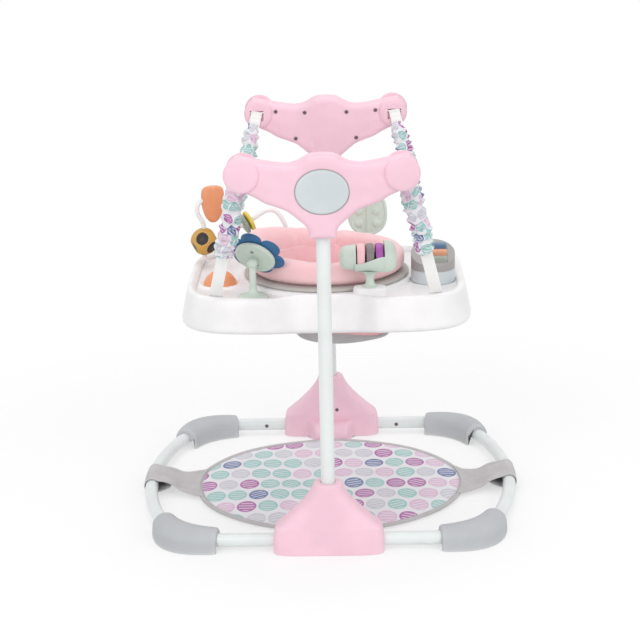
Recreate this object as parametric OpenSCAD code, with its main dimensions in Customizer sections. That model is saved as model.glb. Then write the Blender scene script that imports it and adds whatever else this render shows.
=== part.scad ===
// Activity jumper: two posts on a ring base, a sprung tray with a turning seat, and toys

/* [Base ring] */
// Distance between the two post axes, front to back
post_gap = 712; // [660:2:760]
// Width between the side tube axes at the widest point
base_w = 784; // [740:2:840]
// Outer diameter of every steel tube
tube_d = 28; // [26:0.5:31]
// Wall of the steel tubes
tube_wall = 1.5; // [1:0.1:2.5]
// Bend radius of the corners
corner_r = 150; // [135:1:165]
// How far a side tube bows out past its corner bends
side_bow = 37; // [27:1:52]
// Height of the tubes' underside above the floor
tube_lift = 8; // [6:0.5:11]
// Distance of the tube ends from the middle of a housing
tube_end = 34; // [28:1:44]

/* [Feet] */
// Height of a corner foot
foot_h = 46; // [43:0.5:52]
// Reach of a foot outside the tube axis
foot_out = 24; // [22:0.5:30]
// Reach of a foot inside the tube axis
foot_in = 30; // [26:0.5:36]
// Wall of a foot beside its hollow
foot_wall = 4; // [3:0.5:6]
// Straight tube left bare between the start of a bend and its foot
foot_setback = 20; // [10:1:30]

/* [Base housings] */
// Width of a housing
housing_w = 224; // [200:2:250]
// Height of a housing
housing_h = 146; // [135:1:160]
// Height of its upright side walls
housing_side_h = 54; // [48:1:62]
// Reach of a housing outside the post axis
housing_out = 37; // [33:0.5:44]
// Reach of a housing inside the post axis
housing_in = 34; // [32:0.5:40]
// Wall of a housing
housing_wall = 3; // [2.5:0.5:4]
// Diameter of the collar round the post
collar_d = 52; // [48:1:58]
// Width of the toe
toe_w = 112; // [90:1:130]
// Reach of the toe past the inner face
toe_reach = 44; // [30:1:55]
// Height of the toe
toe_h = 42; // [34:1:48]
// Thickness of the base plates
plate_t = 3; // [2:0.5:4]

/* [Heads] */
// Height of a head's lower edge above the floor
head_z = 651; // [620:1:700]
// Height of a head from lower edge to dome
head_h = 160; // [150:1:175]
// Distance between the two hub centres
hub_gap = 306; // [290:1:330]
// Height of the hub centres above the lower edge
hub_rise = 126; // [120:1:132]
// Diameter of the hub discs
hub_d = 68; // [64:1:76]
// Thickness of the hub caps
hub_cap_t = 6; // [4:0.5:9]
// Depth of the outer shell from the parting plane
shell_out = 36; // [32:0.5:42]
// Depth of the inner shell from the parting plane
shell_in = 32; // [28:0.5:36]
// Wall of the shells
shell_wall = 3; // [2.5:0.25:4]
// Width of the oval plate
badge_w = 102; // [90:1:110]
// Height of the oval plate
badge_h = 85; // [74:1:90]
// Thickness of the oval plate
badge_t = 4; // [2:0.5:6]
// Outer diameter of the post sleeve
sleeve_d = 34; // [33.5:0.5:37]
// Length of sleeve showing under the head
sleeve_show = 12; // [6:1:20]

/* [Straps] */
// Width of the webbing
strap_w = 25; // [20:1:28]
// Thickness of the webbing
strap_t = 1.6; // [1.2:0.1:2.2]
// Distance of the tray slots from the middle, sideways
slot_x = 228; // [222:1:231]
// Distance of the tray slots from the middle, front to back
slot_y = 166; // [160:1:169]
// Thickness of the strap guides
guide_t = 9; // [8:0.5:11]
// Diameter of the strap pins
pin_d = 4; // [3:0.25:5]
// Diameter of the gathered cloth sleeves
cloth_d = 38; // [35:0.5:42]
// Length of a cloth sleeve
cloth_len = 204; // [190:1:210]
// Outer diameter of a bounce spring
spring_d = 22; // [18:0.5:24]
// Wire of a bounce spring
spring_wire = 2.6; // [2:0.1:3]
// Length of a bounce spring at rest
spring_len = 140; // [125:1:150]
// Free length of a top webbing under its pin
top_len = 56; // [50:1:62]

/* [Mat] */
// Radius of the foot mat
mat_r = 276; // [250:1:290]
// Thickness of the foot mat in the middle
mat_t = 12; // [8:0.5:16]
// Height of the mat above the floor
mat_lift = 3; // [2:0.5:5]
// Diameter of the mat's edge binding
binding_d = 8; // [6:0.5:10]
// Width of a cloth wing at the mat
wing_w = 165; // [130:1:190]
// Width of a cloth wing at the tube
wing_loop_w = 96; // [70:1:120]
// Thickness of the wing cloth
wing_t = 2.5; // [2:0.25:3.5]

/* [Tray] */
// Width of the tray
tray_w = 606; // [590:2:620]
// Depth of the tray, front to back
tray_d = 480; // [470:2:496]
// Height of the tray
tray_h = 67; // [60:1:76]
// Height of the tray's rim above the floor
rim_z = 490; // [470:1:510]
// Depth of the waist in the front and back walls
waist = 26; // [12:1:32]
// Depth of the deck under the rim
deck_drop = 10; // [8:0.5:13]
// Thickness of the deck
deck_t = 3; // [2.5:0.25:4]
// Wall of the tray body
tray_wall = 3; // [2.5:0.25:4]
// Width of the rim from the outer edge to the deck
rim_w = 30; // [26:1:33]
// How much narrower the rim is than the skirt, on each side
draft = 12; // [6:1:14]

/* [Seat] */
// Radius of the seat hole
seat_hole_r = 150; // [140:1:152]
// Outer radius of the seat ring
ring_r = 176; // [170:1:178]
// Thickness of the seat ring
ring_t = 8; // [5:0.5:10]
// Outer radius of the padded bumper
bumper_r = 167; // [160:1:170]
// Height of the padded bumper
bumper_h = 48; // [36:1:54]
// Width of the bumper's padding
bumper_w = 46; // [36:1:48]
// Depth of the sling under the seat ring
sling_drop = 158; // [130:1:175]
// Width of the sling's crotch panel
crotch_w = 120; // [90:1:140]
// Thickness of the sling's cloth
sling_t = 3; // [2:0.5:4]
// Turn of the seat as it stands
seat_turn = 28; // [0:1:45]

/* [Toys] */
// Diameter over the flower's petals
flower_d = 122; // [108:1:124]
// Diameter of the flower's back disc
flower_back_d = 86; // [70:1:90]
// Height of the flower's middle above the deck
flower_rise = 86; // [82:1:100]
// Diameter of a roller
roller_d = 56; // [46:1:60]
// Thickness of a roller
roller_t = 17; // [12:0.5:18]
// Height of the roller shaft above the deck
roller_rise = 85; // [80:1:95]
// Width of the leaf paddle
leaf_w = 87; // [70:1:95]
// Height of the leaf paddle
leaf_h = 112; // [90:1:120]
// Thickness of the leaf paddle
leaf_t = 12; // [9:0.5:16]
// Diameter of the spinning ball
ball_d = 72; // [60:1:74]
// Diameter of the bead arch's wire
wire_d = 10; // [8:0.5:11]
// Width between the arch's legs
arch_w = 187; // [178:1:192]
// Height of the arch above the deck
arch_h = 150; // [140:1:160]
// Diameter of the cage ball on the arch
cage_d = 60; // [44:1:62]
// Diameter of the discs on the arch
disc_d = 48; // [36:1:52]
// Thickness of a disc
disc_t = 10; // [7:0.5:11]
// Diameter of the pod
pod_d = 92; // [86:1:94]
// Height of the pod's base
pod_base_h = 30; // [24:1:36]
// Height of the pod's slanted cover in the middle
pod_cover_h = 31; // [26:1:36]
// Travel of a pod key
key_travel = 3; // [2:0.25:4]

/* [Hidden] */
$fn = 64;

// Clearances and cuts
fit = 0.15;
bend_fit = 0.6;
run_gap = 0.5;
overrun = 5;

// Colours
pink = "#f9cbdc";
coral = "#fbb6b8";
white = "#f1f1f3";
steel = "#e6eaec";
grey = "#bdc2c5";
taupe = "#8f8b88";
sage = "#bccbba";
blue = "#3f6ea0";
orange = "#f29260";
ochre = "#d9a850";
purple = "#b964b9";
dark = "#3a3534";
cloth = "#dcdde6";

// Base ring: the corner bend turns until the wide side arc takes over
post_y = post_gap / 2;
tube_r = tube_d / 2;
tube_z = tube_lift + tube_r;
corner_y = post_y - corner_r;
straight_half = base_w / 2 - corner_r - side_bow;
bend = 90 - 2 * atan(side_bow / corner_y);
side_r = corner_r + corner_y / cos(bend);
side_x = base_w / 2 - side_r;
side_half = 90 - bend;
foot_start = foot_setback / corner_r * 180 / PI;
bend_steps = 10;
side_steps = 8;
tube_sides = 16;

// Housings
housing_post_r = tube_r + fit;
housing_shares = [0, 0.14, 0.27, 0.37, 0.44, 0.54, 0.66, 0.79, 0.9, 1];
housing_sides = 40;
slope_power = 1.5;
depth_power = 0.8;
toe_flat_share = 0.6;
side_ease_share = 0.05;
box_power = 5;
edge_power = 4;
collar_power = 2;
cradle_wall = 4;
cradle_end_share = 0.75;
post_cup_h = 34;
rivet_back = 50;
rivet_x = straight_half - rivet_back;
base_screw_x = 14;
base_screw_z = 67;

// Heads
hub_x = hub_gap / 2;
hub_z = head_z + hub_rise;
arm_inset = 3;
arm_r = hub_d / 2 - arm_inset;
collar_half = collar_d / 2;
head_edge = 7;
head_edge_in = 9;
post_top_share = 0.55;
badge_rise_share = 0.58;
badge_sides = 60;
screw_d = 9;
screw_h = 1.6;
screw_places_share = [[0.74, 0.82], [0.31, 0.8], [0.45, 0.43]];

// Straps run from the strap pins to the slots in the tray's deck
pin_x = hub_x + arm_inset;
pin_y = post_y - shell_in - guide_t / 2;
pin_z = hub_z + pin_d;
deck_z = rim_z - deck_drop;
strap_run = [slot_x - pin_x, slot_y - pin_y, deck_z - pin_z];
strap_len = norm(strap_run);
strap_lean = asin(strap_run[0] / strap_len);
strap_tilt = atan2(strap_run[1], -strap_run[2]);
guide_gap = 3;
loop_gap = 0.2;
cloth_start = 48;
cloth_end_share = 0.82;
cloth_taper = 34;
cloth_wall = 2;
cloth_folds = 8;
fold_share = 0.12;
spring_gap = 0.3;
spring_turns = 8;
rings_per_turn = 8;
wire_sides = 6;
tail_end = 20;
slot_gap = 3;
buckle_w = 36;
buckle_h = 8;
buckle_t = 9;

// Mat
mat_steps = 8;

// Tray
tray_sides = 80;
tray_power = 5;
waist_flat = 55;
waist_end = 112;
tray_low = rim_z - tray_h;
collar_low = 2;
collar_rise = deck_drop - collar_low;
collar_land = 36;
deck_gap = 0.3;
ledge = 4;
skirt_h = 30;
skirt_step = 8;
boss_w = 70;
boss_d = 34;
boss_h = 23;
boss_x = 91;
boss_y = 184;

// Seat
ring_z = deck_z + collar_rise + run_gap;
bumper_z = ring_z + ring_t + fit;
bumper_lobes = 24;
bumper_sides = 4 * bumper_lobes;
bumper_rows = 12;
pad_power = 0.75;
lobe_depth = 1.6;
hook_h = 12;
hook_t = 3;
sling_band_share = 0.42;
sling_low_r = 108;
sling_steps = 6;

// Toys: the flower looks up and back at the seat
flower_x = 141;
flower_y = 157.5;
flower_turn = 68;
flower_pitch = 54;
flower_count = 6;
petal_share = 0.34;
petal_disc_share = 0.7;
flower_t = 9;
flower_back_t = 7;
flower_hub_d = 22;
flower_pin_d = 8;
stem_d = 14;
flower_foot_d = 60;
flower_foot_h = 16;
foot_taper_share = 0.75;
flower_dir = [sin(flower_pitch) * cos(flower_turn), sin(flower_pitch) * sin(flower_turn), cos(flower_pitch)];
flower_mid = [-flower_x, -flower_y, deck_z + flower_rise];
flower_hub_back = flower_t / 2 + flower_back_t + flower_hub_d / 2 + 2 * run_gap;
flower_hub = flower_mid - flower_hub_back * flower_dir;
stud_d = 12;
stud_len = 12;
roller_gap = 2;
roller_count = 3;
roller_pitch = roller_t + roller_gap;
roller_span = roller_count * roller_pitch;
roller_turn = 3;
shaft_d = 8;
ear_t = 22;
yoke_t = 14;
saddle_gap = 4;
ear_lap = 2;
ear_d = roller_d + 2 * (saddle_gap + ear_lap);
roller_neck_share = 1.6;
leaf_x = 91;
leaf_y = 181.5;
leaf_stem_h = 36;
leaf_foot_d = 32;
leaf_foot_h = 8;
leaf_rim = 6;
leaf_dome_d = leaf_t;
leaf_dome_share = [0.22, 0.25];
leaf_tip_share = 0.12;
leaf_turn_gap = 0.3;
leaf_sides = 36;
leaf_power = 0.85;
ball_x = 224;
ball_y = 60;
ball_sink = 6;
ball_gap = 1.5;
cup_t = 2.5;
axle_d = 6;
arch_x = 256;
arch_y = 112;
arch_turn = 21;
// Shares of the arch's width and height along its wire, with one straight rise for the discs
arch_rise_share = [[0.37, 0.53], [0.55, 0.635]];
arch_shares = concat([[0, -0.08], [0, 0], [-0.03, 0.06], [-0.07, 0.12], [-0.07, 0.2], [-0.07, 0.36],
  [-0.07, 0.52], [-0.07, 0.6], [-0.1, 0.69], [-0.14, 0.79], [-0.14, 0.89], [-0.09, 0.96], [0, 0.995],
  [0.08, 1], [0.17, 0.965], [0.24, 0.86], [0.28, 0.68], [0.32, 0.55]],
  [for (t = [0, 1 / 3, 2 / 3, 1]) blend(arch_rise_share[0], arch_rise_share[1], t)],
  [[0.62, 0.67], [0.7, 0.69], [0.79, 0.675], [0.87, 0.59], [0.94, 0.44], [0.98, 0.26], [1, 0.1], [1, -0.08]]);
arch_steps = 2;
arch_sides = 10;
bead_slack = 1.6;
cage_share = [-0.07, 0.36];
cage_windows = 3;
cage_window_share = [0.38, 0.42];
leaf_bead_w = 44;
leaf_bead_h = 80;
leaf_bead_t = 26;
leaf_bead_bore = 22;
leaf_bead_share = [0.05, 0.963];
bead_sides = 24;
bead_powers = [0.8, 0.6];
disc_shares = [2 / 3, 1 / 3];
pod_x = 225;
pod_y = 60;
pod_tilt = 22;
key_w_share = 0.456;
key_pitch_share = 0.239;
key_x_share = 0.087;
key_space = 3;
key_w = pod_d * key_w_share;
key_pitch = pod_d * key_pitch_share;
key_x = pod_d * key_x_share;
key_d = key_pitch - key_space;
key_rise = 6;
key_gap = 0.5;

function ease(t) = let (u = min(1, max(0, t))) u * u * (3 - 2 * u);
function signed_power(v, p) = sign(v) * pow(abs(v), p);
function blend(a, b, t) = a + (b - a) * t;

// A skin through rings of points: capped at both ends, in one face or in the pieces given, or run back
// into its first ring
module loft(rings, closed = false, pieces = undef) {
  count = len(rings[0]);
  rows = len(rings);
  points = [for (ring = rings) each ring];
  walls = [for (r = [0 : closed ? rows - 1 : rows - 2], i = [0 : count - 1])
    let (j = (i + 1) % count, s = (r + 1) % rows)
    each [[r * count + i, s * count + j, r * count + j], [r * count + i, s * count + i, s * count + j]]];
  first = is_undef(pieces) ? [[for (i = [0 : count - 1]) i]] : pieces;
  last = [for (face = first) [for (i = [len(face) - 1 : -1 : 0]) (rows - 1) * count + face[i]]];
  polyhedron(points, closed ? walls : concat(walls, first, last));
}

// Places: side is 1 for right and -1 for left, end is 1 for back and -1 for front
module at(side, end) {
  mirror([side < 0 ? 1 : 0, 0, 0]) mirror([0, end < 0 ? 1 : 0, 0]) children();
}
module at_post(end) {
  at(1, end) translate([0, post_y, 0]) children();
}
module four_corners() {
  for (side = [-1, 1], end = [-1, 1]) at(side, end) children();
}
module four_hubs() {
  for (side = [-1, 1], end = [-1, 1]) at(side, 1) at_post(end) children();
}

// Sweeps of an outline along the right half of the base ring
module corner_sweep(from, to) {
  translate([straight_half, corner_y, 0]) rotate([0, 0, 90 - to]) rotate_extrude(angle = to - from)
    translate([corner_r, tube_z]) children();
}
module side_sweep(from, to) {
  translate([side_x, 0, 0]) rotate([0, 0, from]) rotate_extrude(angle = to - from)
    translate([side_r, tube_z]) children();
}

module tube_ring() {
  difference() {
    circle(tube_r);
    circle(tube_r - tube_wall);
  }
}
// The bent tube's middle line from the back housing round to the front one, with its outward direction
function bend_point(t) = [straight_half + corner_r * sin(t), corner_y + corner_r * cos(t), 90 - t];
tube_back = concat([[tube_end, post_y, 90]], [for (k = [0 : bend_steps]) bend_point(bend * k / bend_steps)],
  [for (k = [1 : side_steps / 2]) let (a = side_half * (1 - 2 * k / side_steps))
    [side_x + side_r * cos(a), side_r * sin(a), a]]);
tube_line = concat(tube_back, [for (k = [len(tube_back) - 2 : -1 : 0])
  [tube_back[k][0], -tube_back[k][1], -tube_back[k][2]]]);
function tube_section(p, r) = [for (i = [0 : tube_sides - 1]) let (a = i * 360 / tube_sides)
  [p[0] + r * cos(a) * cos(p[2]), p[1] + r * cos(a) * sin(p[2]), tube_z + r * sin(a)]];
module base_tube() {
  last = len(tube_line) - 1;
  color(steel) loft(concat(
    [for (k = [0 : last]) tube_section(tube_line[k], tube_r)],
    [for (k = [last : -1 : 0]) tube_section(tube_line[k], tube_r - tube_wall)]), true);
}

module foot_outline() {
  half = (foot_in + foot_out) / 2;
  difference() {
    translate([foot_out - half, -tube_z]) {
      translate([0, foot_h - half]) circle(half);
      translate([-half, 0]) square([2 * half, foot_h - half]);
    }
    translate([-2 * half, -tube_z - foot_h]) square([4 * half, foot_h]);
    translate([foot_wall - foot_in, -tube_z - overrun])
      square([foot_in + foot_out - 2 * foot_wall, tube_z + overrun]);
    circle(tube_r + bend_fit);
  }
}
module foot() {
  color(grey) corner_sweep(foot_start, bend) foot_outline();
}

// Plan of a housing at a height, drawn in from its outer face
function slope(z) = max(0, (z - housing_side_h) / (housing_h - housing_side_h));
function housing_ring(z, inset) = let (
    s = slope(z),
    up = min(1, z / housing_side_h),
    half = (s > 0
      ? blend(collar_half, housing_w / 2 * (1 - side_ease_share), pow(1 - s, slope_power))
      : housing_w / 2 * (1 - side_ease_share * pow(up, edge_power))) - inset,
    out = blend(collar_half, housing_out, pow(1 - s, depth_power)) - inset,
    inn = blend(collar_half, housing_in, pow(1 - s, depth_power)) - inset,
    power = blend(collar_power, box_power, 1 - s),
    toe = toe_reach * sqrt(max(0, 1 - pow(z / (toe_h - inset), edge_power))))
  [for (i = [0 : housing_sides - 1]) let (
      a = i * 360 / housing_sides,
      deep = sin(a) > 0 ? out : inn,
      r = pow(pow(abs(cos(a)) / half, power) + pow(abs(sin(a)) / deep, power), -1 / power),
      x = r * cos(a),
      spread = (abs(x) / (toe_w / 2 - inset) - toe_flat_share) / (1 - toe_flat_share),
      bump = sin(a) < 0 ? toe * (1 - ease(spread)) : 0)
    [x, r * sin(a) - bump, z]];
function post_hole_ring(z) = [for (i = [0 : housing_sides - 1]) let (a = i * 360 / housing_sides)
  [housing_post_r * cos(a), housing_post_r * sin(a), z]];

module base_housing() {
  inner_top = housing_h - housing_wall;
  color(pink) difference() {
    loft(concat(
      [for (s = housing_shares) housing_ring(s * housing_h, 0)],
      [post_hole_ring(housing_h), post_hole_ring(inner_top)],
      [for (k = [len(housing_shares) - 1 : -1 : 0])
        housing_ring(housing_shares[k] * inner_top, housing_wall)]), true);
    translate([-housing_w, 0, tube_z]) rotate([0, 90, 0]) cylinder(h = 2 * housing_w, r = tube_r + fit);
  }
}

module base_plate() {
  plan = [for (p = housing_ring(0, housing_wall + fit)) [p[0], p[1]]];
  cradle_len = housing_w / 2 * cradle_end_share - tube_end;
  color(grey) difference() {
    union() {
      linear_extrude(plate_t) polygon(plan);
      cylinder(h = post_cup_h + plate_t, r = tube_r + cradle_wall);
      for (side = [-1, 1]) at(side, 1) translate([tube_end, -tube_r - cradle_wall, 0])
        cube([cradle_len, 2 * (tube_r + cradle_wall), tube_z]);
    }
    translate([0, 0, plate_t]) cylinder(h = housing_h, r = tube_r + fit);
    for (side = [-1, 1]) at(side, 1) translate([tube_end - fit, 0, tube_z]) rotate([0, 90, 0])
      cylinder(h = housing_w, r = tube_r + fit);
  }
}

module post() {
  color(steel) translate([0, 0, plate_t])
    linear_extrude(head_z + head_h * post_top_share - plate_t) tube_ring();
}
module post_sleeve() {
  low = head_z - sleeve_show;
  color(pink) translate([0, 0, low]) difference() {
    cylinder(h = head_z + head_h * post_top_share - low, d = sleeve_d);
    translate([0, 0, -overrun]) cylinder(h = head_h + 2 * overrun, r = tube_r + fit);
  }
}

// Dark rivets through the inner side of the tubes and a screw in the inner face of each housing
module base_screw_set(end) {
  face = blend(collar_half, housing_in, pow(1 - slope(base_screw_z - screw_d / 2), depth_power));
  color(dark) at_post(end) {
    for (side = [-1, 1]) translate([side * rivet_x, -tube_r, tube_z]) rotate([90, 0, 0])
      cylinder(h = screw_h, d = screw_d);
    translate([base_screw_x, -face - fit, base_screw_z]) rotate([90, 0, 0])
      cylinder(h = screw_h, d = screw_d);
  }
}

// Outline of a head seen from the front, as shares of the half span and of the head's height
head_top_shares = [[0, 1], [0.08, 0.996], [0.16, 0.984], [0.23, 0.95], [0.31, 0.906], [0.41, 0.88],
  [0.5, 0.878], [0.67, 0.9], [0.8, 0.925]];
head_low_shares = [[0.18, 0.09], [0.215, 0.155], [0.29, 0.22], [0.39, 0.3], [0.46, 0.345], [0.59, 0.395],
  [0.72, 0.44], [0.85, 0.515]];
end_turns = [75, 50, 25, 0, -25, -50, -75];
head_right = concat([for (p = head_top_shares) [p[0] * hub_x, p[1] * head_h]],
  [for (a = end_turns) [hub_x + arm_r * cos(a), hub_rise + arm_r * sin(a)]],
  [for (k = [len(head_low_shares) - 1 : -1 : 0])
    [head_low_shares[k][0] * hub_x, head_low_shares[k][1] * head_h]],
  [[collar_half, 0]]);
head_outline = concat(head_right,
  [for (k = [len(head_right) - 1 : -1 : 1]) [-head_right[k][0], head_right[k][1]]]);
// A head's flat face in pieces with no hollow side: strips from the top edge to the low edge, the round
// ends and the middle
head_count = len(head_outline);
head_half = len(head_right) - 1;
head_strips = len(head_top_shares) - 1;
pieces_right = concat([for (k = [0 : head_strips - 1]) [k, k + 1, head_half - k - 1, head_half - k]],
  [[for (k = [head_strips : head_half - head_strips]) k]]);
head_pieces = concat(pieces_right, [[0, head_half, head_half + 1]],
  [for (face = pieces_right) [for (i = [len(face) - 1 : -1 : 0]) (head_count - face[i]) % head_count]]);
function inward(from, to) = [to[1] - from[1], from[0] - to[0]] / norm(to - from);
// The outline drawn in by the same distance along every side
function head_ring(inset, y) = [for (k = [0 : head_count - 1]) let (
    before = inward(head_outline[(k + head_count - 1) % head_count], head_outline[k]),
    after = inward(head_outline[k], head_outline[(k + 1) % head_count]),
    p = head_outline[k] + inset * (before + after) / (1 + before * after))
  [p[0], y, head_z + p[1]]];

// A half shell from its parting plane out to a flat face, hollow, with a half bore for the post sleeve
module head_shell(depth) {
  color(pink) difference() {
    loft([head_ring(head_edge_in + shell_wall, depth - shell_wall),
      head_ring(head_edge / 2 + shell_wall, depth - shell_wall - head_edge / 3),
      head_ring(shell_wall, depth - shell_wall - head_edge),
      head_ring(shell_wall, fit),
      head_ring(0, fit),
      head_ring(0, depth - head_edge - shell_wall / 2),
      head_ring(head_edge / 3, depth - head_edge / 3),
      head_ring(head_edge_in, depth)], pieces = head_pieces);
    translate([0, 0, head_z - overrun]) cylinder(h = 2 * overrun, d = sleeve_d + 2 * fit);
  }
}
module head_outer() {
  head_shell(shell_out);
}
module head_inner() {
  mirror([0, 1, 0]) head_shell(shell_in);
}
module badge() {
  color(grey) translate([0, shell_out + badge_t, head_z + head_h * badge_rise_share]) rotate([90, 0, 0])
    linear_extrude(badge_t) polygon([for (k = [0 : badge_sides - 1]) let (a = k * 360 / badge_sides)
      [badge_w / 2 * cos(a), badge_h / 2 * sin(a)]]);
}
module hub_cap() {
  edge = hub_cap_t / 3;
  color(pink) translate([hub_x, shell_out, hub_z]) rotate([-90, 0, 0])
    rotate_extrude() polygon([[0, 0], [hub_d / 2 - edge, 0], [hub_d / 2, edge],
      [hub_d / 2, hub_cap_t - edge], [hub_d / 2 - edge, hub_cap_t], [0, hub_cap_t]]);
}
// A disc on the inner face of a hub, with a slot for the webbing and a cross bore for its pin
module strap_guide() {
  slot_w = strap_w + 2 * guide_gap;
  color(pink) difference() {
    translate([hub_x, -shell_in, hub_z]) rotate([90, 0, 0]) cylinder(h = guide_t, d = hub_d);
    translate([pin_x - slot_w / 2, -shell_in - guide_t - overrun, hub_z - hub_d])
      cube([slot_w, guide_t + 2 * overrun, hub_d + pin_z - hub_z + pin_d + guide_gap]);
    translate([pin_x - slot_w / 2 - pin_d, pin_y - post_y, pin_z]) rotate([0, 90, 0])
      cylinder(h = slot_w + 2 * pin_d, d = pin_d + 2 * fit);
  }
}
module strap_pin() {
  half = strap_w / 2 + guide_gap + pin_d - fit;
  color(steel) translate([pin_x - half, pin_y, pin_z]) rotate([0, 90, 0]) cylinder(h = 2 * half, d = pin_d);
}
module head_screw_set(end) {
  color(dark) at_post(end) for (side = [-1, 1], p = screw_places_share)
    translate([side * p[0] * hub_x, -shell_in, head_z + p[1] * head_h]) rotate([90, 0, 0])
      cylinder(h = screw_h, d = screw_d);
}

// Along a strap: down its length is -Z, across the webbing is X
module along_strap() {
  translate([pin_x, pin_y, pin_z]) rotate([strap_tilt, 0, 0]) rotate([0, -strap_lean, 0]) children();
}
module strap_top() {
  inner = pin_d / 2 + loop_gap;
  color(white) difference() {
    union() {
      translate([pin_x - strap_w / 2, pin_y, pin_z]) rotate([0, 90, 0])
        cylinder(h = strap_w, r = inner + strap_t);
      along_strap() translate([-strap_w / 2, -strap_t / 2, -top_len]) cube([strap_w, strap_t, top_len]);
    }
    translate([pin_x - strap_w, pin_y, pin_z]) rotate([0, 90, 0]) cylinder(h = 2 * strap_w, r = inner);
  }
}
function coil_ring(k) = let (
    turn = k * 360 / rings_per_turn,
    r = (spring_d - spring_wire) / 2,
    pitch = (spring_len - spring_wire) / spring_turns,
    z = -top_len - spring_gap - spring_wire / 2 - pitch * k / rings_per_turn)
  [for (i = [0 : wire_sides - 1]) let (
      a = -i * 360 / wire_sides,
      out = r + spring_wire / 2 * cos(a))
    [out * cos(turn), out * sin(turn), z + spring_wire / 2 * sin(a)]];
module bounce_spring() {
  color(steel) along_strap() loft([for (k = [0 : spring_turns * rings_per_turn]) coil_ring(k)]);
}
// Gathered cloth: a tube that swells and draws in along its length
module cloth_sleeve() {
  steps = cloth_folds * 4;
  outer = [for (k = [0 : steps]) let (
      along = cloth_len * k / steps,
      open = blend(cloth_end_share, 1, ease(min(along, cloth_len - along) / cloth_taper)))
    [cloth_d / 2 * open * (1 - fold_share * (1 - cos(k * 90)) / 2), -cloth_start - along]];
  inner = [for (k = [steps : -1 : 0]) [outer[k][0] - cloth_wall, outer[k][1]]];
  color(cloth) along_strap() rotate_extrude() polygon(concat(outer, inner));
}
module strap_tail() {
  start = top_len + 2 * spring_gap + spring_len;
  color(white) along_strap() translate([-strap_w / 2, -strap_t / 2, -strap_len - tail_end])
    cube([strap_w, strap_t, strap_len + tail_end - start]);
}
module strap_buckle() {
  color(grey) along_strap() difference() {
    translate([-buckle_w / 2, -buckle_t / 2, -strap_len - tail_end + fit])
      cube([buckle_w, buckle_t, buckle_h]);
    translate([-strap_w / 2 - fit, -strap_t / 2 - fit, -strap_len - tail_end - overrun])
      cube([strap_w + 2 * fit, strap_t + 2 * fit, buckle_h + 2 * overrun]);
  }
}

module foot_mat() {
  body_r = mat_r - binding_d;
  color(cloth) translate([0, 0, mat_lift]) rotate_extrude() {
    polygon(concat([[0, 0], [body_r, binding_d / 4]], [for (k = [0 : mat_steps]) let (s = 1 - k / mat_steps)
      [body_r * s, binding_d / 2 + (mat_t - binding_d / 2) * sqrt(1 - s * s)]]));
    translate([mat_r - binding_d / 2, binding_d / 2]) circle(binding_d / 2);
    translate([body_r - binding_d / 2, binding_d / 4]) square([binding_d, binding_d / 2]);
  }
}
// A cloth wing that runs from the mat's edge and loops round a side tube
module mat_wing() {
  loop_r = tube_r + bend_fit;
  loop_turn = wing_loop_w / 2 / side_r * 180 / PI;
  wing_z = mat_lift + binding_d / 4;
  reach = base_w / 2 - tube_r / 2;
  color(taupe) {
    side_sweep(-loop_turn, loop_turn) difference() {
      circle(loop_r + wing_t);
      circle(loop_r);
    }
    difference() {
      translate([0, 0, wing_z]) linear_extrude(wing_t) polygon([[mat_r - wing_w / 4, -wing_w / 2],
        [reach, -wing_loop_w / 2], [reach, wing_loop_w / 2], [mat_r - wing_w / 4, wing_w / 2]]);
      cylinder(h = mat_r, r = mat_r + fit);
      side_sweep(-2 * loop_turn, 2 * loop_turn) circle(loop_r);
    }
  }
}

// Plan of the tray by direction, drawn in from its widest line
function tray_plan(inset) = [for (i = [0 : tray_sides - 1]) let (
    a = i * 360 / tray_sides,
    half_w = tray_w / 2 - inset,
    half_d = tray_d / 2 - inset,
    r = pow(pow(abs(cos(a)) / half_w, tray_power) + pow(abs(sin(a)) / half_d, tray_power), -1 / tray_power),
    x = r * cos(a),
    y = r * sin(a),
    pull = waist * (1 - ease((abs(x) - waist_flat) / (waist_end - waist_flat))) * abs(y) / half_d)
  [x, y - sign(y) * pull]];
function tray_ring(inset, z) = [for (p = tray_plan(inset)) [p[0], p[1], z]];
module tray_body() {
  land = rim_w + deck_gap;
  bulge_z = tray_low + draft;
  color(white) loft([
    tray_ring(land, deck_z),
    tray_ring(land, deck_z - deck_t - deck_gap),
    tray_ring(land + ledge, deck_z - deck_t - deck_gap),
    tray_ring(land + ledge, deck_z - 2 * deck_t - deck_gap),
    tray_ring(draft + tray_wall, deck_z - 2 * deck_t - deck_gap),
    tray_ring(tray_wall, bulge_z),
    tray_ring(draft + tray_wall, tray_low + tray_wall),
    tray_ring(draft + ledge, tray_low + tray_wall),
    tray_ring(draft + ledge, tray_low),
    tray_ring(draft, tray_low),
    tray_ring(draft / 4, tray_low + draft / 3),
    tray_ring(0, bulge_z),
    tray_ring(draft, rim_z - deck_drop / 3),
    tray_ring(draft + deck_drop / 3, rim_z),
    tray_ring(rim_w - deck_drop / 2, rim_z),
    tray_ring(rim_w - deck_drop / 5, rim_z - deck_drop / 3)], true);
}

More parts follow.
